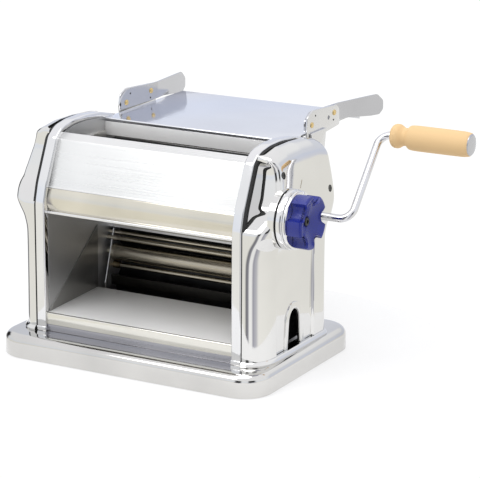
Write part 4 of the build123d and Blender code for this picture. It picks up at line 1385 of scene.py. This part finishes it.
# --------------------------------------------------------------------------------------
# Crank
# --------------------------------------------------------------------------------------
@dataclass
class Crank:
    """Bent rod, its boss, the turned wooden grip and the cap at its end."""

    bend: float = 13.0
    arm_x: float = 194.0
    rod_radius: float = 4.0
    grip_radius: float = 12.95
    grip_bore: float = 4.1

    def rod(self) -> Shape:
        """Bar bent twice between the shaft and the grip.

        Returns:
            The closed bar.
        """
        drive, grip = Extent.of("rear_roller").centre, Extent.of("wooden_grip").centre
        start, end = Extent.of("crank_rod").low.x, Extent.of("crank_rod").high.x
        arm = math.hypot(grip.y - drive.y, grip.z - drive.z)
        flat = rounded([(start, 0), (self.arm_x, 0), (self.arm_x, arm), (end, arm)],
                       [0, self.bend, self.bend, 0], closed=False, steps=16)
        out = ((grip.y - drive.y) / arm, (grip.z - drive.z) / arm)
        return tube([(x, drive.y + out[0] * t, drive.z + out[1] * t) for x, t in flat], self.rod_radius)

    def grip_profile(self) -> list[Point2]:
        """Turned profile: bead, neck and a long body with a rounded end.

        Returns:
            Its (x, radius) points, round to the bore.
        """
        box = Extent.of("wooden_grip")
        low, high = box.low.x, box.high.x
        body_radius, bore, seat = self.grip_radius, self.grip_bore, high - 3
        knots = [(0, 7.4), (0.9, 9.8), (2.6, 11.5), (5.2, 12.35), (7.6, 12.3), (9.8, 11.4), (11.6, 10.2),
                 (12.6, 9.75), (13.2, 9.3), (15.0, 9.1), (17.2, 9.4), (18.6, 10.3), (19.6, 11.6),
                 (21.0, 12.3), (24.0, 12.75), (30.0, body_radius), (60.0, body_radius), (74.0, 12.85)]
        body = high - low
        ending = [(body - 9, 12.85), (body - 5, 12.6), (body - 2.4, 12.2), (body - 0.9, 11.75),
                  (body - 0.25, 11.3), (body - 0.3, 10.95)]
        places = np.concatenate([np.linspace(0, 30, 61), np.linspace(31, 76, 24)])
        values = smooth_through(knots, places)
        profile = [(low, bore)] + [(low + float(x), float(r)) for x, r in zip(places, values)]
        return profile + [(low + x, r) for x, r in ending] + [(seat, 10.9), (seat, bore), (low, bore)]

    def build(self) -> None:
        """Make rod, boss, grip and cap."""
        make_piece("crank_bar", self.rod(), ROD, Body.DRIVE, ["crank_rod"], sharp=50)
        drive = Extent.of("rear_roller").centre
        boss = Extent.of("crank_boss")
        radius, ease = (boss.high.z - boss.low.z) / 2, 1.2
        hub = [(boss.low.x, 0), (boss.low.x, radius), (boss.high.x - ease, radius),
               (boss.high.x, radius - ease), (boss.high.x, 0)]
        make_piece("crank_hub", turned(hub, (drive.y, drive.z), 64), ROD, Body.DRIVE, ["crank_boss"])
        grip = Extent.of("wooden_grip")
        axis = (grip.centre.y, grip.centre.z)
        make_piece("turned_grip", turned(self.grip_profile(), axis, 96), BEECH, Body.GRIP,
                   ["wooden_grip"], sharp=55)
        cap = Extent.of("grip_cap")
        radius, end = (cap.high.z - cap.low.z) / 2, cap.high.x
        button = [(cap.low.x, 0), (cap.low.x, radius - 0.1), (end - 1.0, radius - 0.1),
                  (end - 0.5, radius - 0.6), (end - 0.3, radius - 1.6), (end - 0.15, radius * 0.5),
                  (end - 0.1, 0)]
        make_piece("grip_end_cap", turned(button, axis, 96), GUIDE, Body.DRIVE, ["grip_cap"], sharp=50)


# --------------------------------------------------------------------------------------
# Parts that keep their CAD shape
# --------------------------------------------------------------------------------------
KEPT_FINISHES: dict[Finish, tuple[str, ...]] = {
    CHEEK_PLATE: ("right_hopper_cheek", "left_hopper_cheek"),
    # The near-black tint of these kept parts is painted shade.
    PLATE: ("right_side_frame", "left_side_frame", "inner_brackets", "scraper_rail", "rod_nuts",
            "bracket_screws", "adjuster_shaft", "right_shaft_bearing", "left_shaft_bearing",
            "block_springs", "front_scraper", "detent_spring", "detent_ball"),
    RAIL_SHADE: ("rear_rail",),
    ROD_WARM_REFLECTION: ("spacer_tube", "tie_rods"),
    ROLLER: ("rear_roller", "front_roller"),
    GEAR: ("rear_roller_gear", "front_roller_gear", "right_bearing_block", "left_bearing_block",
           "follower_pins", "adjuster_cams"),
    DULL_BRASS: ("roller_bushes", "rod_bushes"),
    DARK: ("casing_screws",),
    WHITE: ("rear_scraper",),
    RUBBER: ("rubber_edging",),
}


def dress_kept(nodes: dict[str, bpy.types.Object]) -> None:
    """Dress the nodes that stay as they are.

    Args:
        nodes: All nodes of the frame, by name.
    """
    for finish, names in KEPT_FINISHES.items():
        for name in names:
            dress(nodes[name], finish)
            LOG.info("%s keeps its shape", name)


# --------------------------------------------------------------------------------------
# Studio
# --------------------------------------------------------------------------------------
Stops = tuple[tuple[float, Colour], ...]
WHITE_LIGHT: Colour = (1.0, 1.0, 1.0)
DIM_LIGHT: Colour = (0.80, 0.81, 0.865)
WARM_LIGHT: Colour = (0.93, 0.92, 0.87)
NO_LIGHT: Colour = (0.0, 0.0, 0.0)
DARK_CURTAIN: Colour = (0.03, 0.03, 0.03)


@dataclass(frozen=True)
class SoftBox:
    """A round soft light: place and diameter in metres, power in watts."""

    name: str
    place: Point3
    size: float
    watts: float

    def build(self, aim_at: Vector) -> None:
        """Hang the light.

        Args:
            aim_at: The point that it faces.
        """
        data = bpy.data.lights.new(self.name, "AREA")
        data.shape, data.size, data.energy = "DISK", self.size, self.watts
        light = bpy.data.objects.new(self.name, data)
        bpy.context.scene.collection.objects.link(light)
        light.location = self.place
        light.rotation_euler = (aim_at - Vector(self.place)).to_track_quat("-Z", "Y").to_euler()


@dataclass
class Surroundings:
    """The pale room round the machine, with dark curtains for the metal to mirror.

    Heights run from 0 straight down to 1 straight up. Shares run once round, with 0.5 at the front.
    """

    strength: float = 1.05
    pale: Stops = ((0.50, (0.93, 0.94, 0.97)), (0.56, (0.88, 0.92, 1.0)), (0.64, (0.95, 0.97, 1.0)),
                   (0.72, (0.96, 0.97, 0.99)), (0.85, (0.97, 0.97, 1.0)), (1.0, (0.97, 0.97, 1.0)))
    around: Stops = ((0.0, DIM_LIGHT), (0.14, DIM_LIGHT), (0.165, DARK_CURTAIN), (0.205, DARK_CURTAIN),
                     (0.24, WHITE_LIGHT), (0.47, WHITE_LIGHT), (0.50, DARK_CURTAIN),
                     (0.535, DARK_CURTAIN), (0.56, WHITE_LIGHT), (0.61, WHITE_LIGHT),
                     (0.635, DARK_CURTAIN), (0.675, DARK_CURTAIN), (0.71, WHITE_LIGHT),
                     (0.82, WHITE_LIGHT), (0.89, DIM_LIGHT), (1.0, DIM_LIGHT))
    curtain_top: Stops = ((0.50, WHITE_LIGHT), (0.66, WHITE_LIGHT), (0.74, NO_LIGHT))
    below: Stops = ((0.0, WHITE_LIGHT), (0.14, WHITE_LIGHT), (0.165, (0.12, 0.12, 0.13)),
                    (0.20, (0.20, 0.20, 0.22)), (0.235, WARM_LIGHT), (0.46, WARM_LIGHT),
                    (0.50, (0.22, 0.22, 0.24)), (0.53, (0.30, 0.30, 0.34)), (0.56, WHITE_LIGHT),
                    (0.60, WHITE_LIGHT), (0.63, (0.42, 0.42, 0.48)), (0.67, (0.55, 0.55, 0.60)),
                    (0.72, (0.96, 0.95, 0.91)), (0.94, (0.90, 0.89, 0.85)), (1.0, WHITE_LIGHT))
    horizon: Stops = ((0.492, NO_LIGHT), (0.5, WHITE_LIGHT))

    def __post_init__(self) -> None:
        """Start an empty world."""
        world = bpy.data.worlds.new("studio")
        bpy.context.scene.world = world
        world.use_nodes = True
        self.tree = world.node_tree

    def maths(self, kind: str, first: bpy.types.NodeSocket,
              second: bpy.types.NodeSocket | float) -> bpy.types.NodeSocket:
        """Work out one value from two.

        Args:
            kind: The operation.
            first: Its first value.
            second: Its second value, a socket or a constant.

        Returns:
            The result.
        """
        node = self.tree.nodes.new("ShaderNodeMath")
        node.operation = kind
        self.tree.links.new(first, node.inputs[0])
        if isinstance(second, bpy.types.NodeSocket):
            self.tree.links.new(second, node.inputs[1])
        else:
            node.inputs[1].default_value = second
        return node.outputs[0]

    def ramp(self, source: bpy.types.NodeSocket, stops: Stops) -> bpy.types.NodeSocket:
        """Pick a colour softly from stops.

        Args:
            source: The value that picks it.
            stops: (place, colour) pairs in order.

        Returns:
            The colour.
        """
        node = self.tree.nodes.new("ShaderNodeValToRGB")
        node.color_ramp.interpolation = "EASE"
        elements = node.color_ramp.elements
        while len(elements) < len(stops):
            elements.new(0.5)
        for element, (place, colour) in zip(elements, stops):
            element.position, element.color = place, (*colour, 1)
        self.tree.links.new(source, node.inputs["Fac"])
        return node.outputs["Color"]

    def mixed(self, factor: bpy.types.NodeSocket, first: bpy.types.NodeSocket,
              second: bpy.types.NodeSocket, blend: str) -> bpy.types.NodeSocket:
        """Blend two colours.

        Args:
            factor: Share of the blend.
            first: The colour underneath.
            second: The colour on top.
            blend: The kind of blend.

        Returns:
            The blended colour.
        """
        node = self.tree.nodes.new("ShaderNodeMix")
        node.data_type, node.blend_type = "RGBA", blend
        for name, source in (("Factor", factor), ("A", first), ("B", second)):
            kind = "VALUE" if name == "Factor" else "RGBA"
            self.tree.links.new(source, next(s for s in node.inputs if s.name == name and s.type == kind))
        return next(s for s in node.outputs if s.type == "RGBA")

    def mirrored_room(self) -> bpy.types.NodeSocket:
        """Wire the colour of the room in each direction.

        Returns:
            The colour.
        """
        split = self.tree.nodes.new("ShaderNodeSeparateXYZ")
        coords = self.tree.nodes.new("ShaderNodeTexCoord")
        self.tree.links.new(coords.outputs["Generated"], split.inputs[0])
        turn = self.maths("ARCTAN2", split.outputs["X"], self.maths("MULTIPLY", split.outputs["Y"], -1.0))
        share = self.maths("ADD", self.maths("DIVIDE", turn, 2 * math.pi), 0.5)
        height = self.maths("ADD", self.maths("MULTIPLY", split.outputs["Z"], 0.5), 0.5)
        above = self.mixed(self.ramp(height, self.curtain_top), self.ramp(height, self.pale),
                           self.ramp(share, self.around), "MULTIPLY")
        return self.mixed(self.ramp(height, self.horizon), self.ramp(share, self.below), above, "MIX")

    def build(self) -> None:
        """Show the room in the metal and a plain white backdrop behind the machine."""
        nodes, links = self.tree.nodes, self.tree.links
        room, plain = nodes["Background"], nodes.new("ShaderNodeBackground")
        links.new(self.mirrored_room(), room.inputs["Color"])
        plain.inputs["Color"].default_value = (*WHITE_LIGHT, 1)
        for background in (room, plain):
            background.inputs["Strength"].default_value = self.strength
        either = nodes.new("ShaderNodeMixShader")
        links.new(nodes.new("ShaderNodeLightPath").outputs["Is Camera Ray"], either.inputs[0])
        links.new(room.outputs[0], either.inputs[1])
        links.new(plain.outputs[0], either.inputs[2])
        links.new(either.outputs[0], nodes["World Output"].inputs["Surface"])


@dataclass(frozen=True)
class Studio:
    """Camera, floor, room and soft lights; lengths of the camera are in millimetres."""

    azimuth: float = 29.0
    elevation: float = 15.33
    roll: float = 0.28
    distance: float = 2326.0
    lens: float = 171.1
    sensor: float = 36.0
    target: Point3 = (74.4, 0.0, 129.2)
    floor_centre_x: float = 0.03
    floor_reach: float = 0.27
    floor_tones: Point2 = (0.34, 0.36)
    floor_glow: float = 0.62
    aim_height: float = 0.12
    lights: tuple[SoftBox, ...] = (SoftBox("key", (-0.75, -1.6, 2.2), 1.5, 15.0),
                                   SoftBox("top", (0.2, -0.5, 2.4), 1.8, 12.0))

    def camera(self) -> None:
        """Camera at the viewing angle."""
        a, e = math.radians(self.azimuth), math.radians(self.elevation)
        back = Vector((math.sin(a) * math.cos(e), -math.cos(a) * math.cos(e), math.sin(e)))
        data = bpy.data.cameras.new("camera")
        data.lens, data.sensor_width = self.lens, self.sensor
        data.clip_start, data.clip_end = 0.05, 60.0
        camera = bpy.data.objects.new("camera", data)
        bpy.context.scene.collection.objects.link(camera)
        roll = Matrix.Rotation(math.radians(self.roll), 3, "Z")
        turn = (-back).to_track_quat("-Z", "Y").to_matrix() @ roll
        place = (Vector(self.target) + back * self.distance) * MM
        camera.matrix_world = Matrix.Translation(place) @ turn.to_4x4()
        bpy.context.scene.camera = camera

    def floor(self) -> None:
        """Round white table top."""
        mesh = bpy.data.meshes.new("floor")
        steps, reach = 96, self.floor_reach
        angles = [2 * math.pi * k / steps for k in range(steps)]
        rim = [(self.floor_centre_x + reach * math.cos(a), reach * math.sin(a), 0) for a in angles]
        mesh.from_pydata(rim, [], [tuple(range(steps))])
        floor = bpy.data.objects.new("floor", mesh)
        bpy.context.scene.collection.objects.link(floor)
        paint = Paint("floor_white")
        low, high = self.floor_tones
        paint.blend(paint.noise(3.0), [(0.4, (low, low, low)), (0.6, (high, high, high))])
        paint.set(Roughness=0.9, Emission_Color=(1, 1, 1, 1), Emission_Strength=self.floor_glow)
        mesh.materials.append(paint.material)

    def build(self) -> None:
        """Set the whole studio."""
        self.camera()
        self.floor()
        Surroundings().build()
        for light in self.lights:
            light.build(Vector((0, 0, self.aim_height)))
        bpy.context.scene.view_settings.view_transform = "Standard"


def main() -> None:
    """Build the scene piece by piece."""
    logging.basicConfig(level=logging.INFO, format="%(message)s")
    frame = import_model()
    Studio().build()
    builders: list[Callable[[], None]] = [SheetWork().build, Guides().build, GapKnob().build, Crank().build]
    builders += [Casing(side).build for side in Side]
    for build in builders:
        build()
    dress_kept(frame["nodes"])


if __name__ == "__main__":
    main()
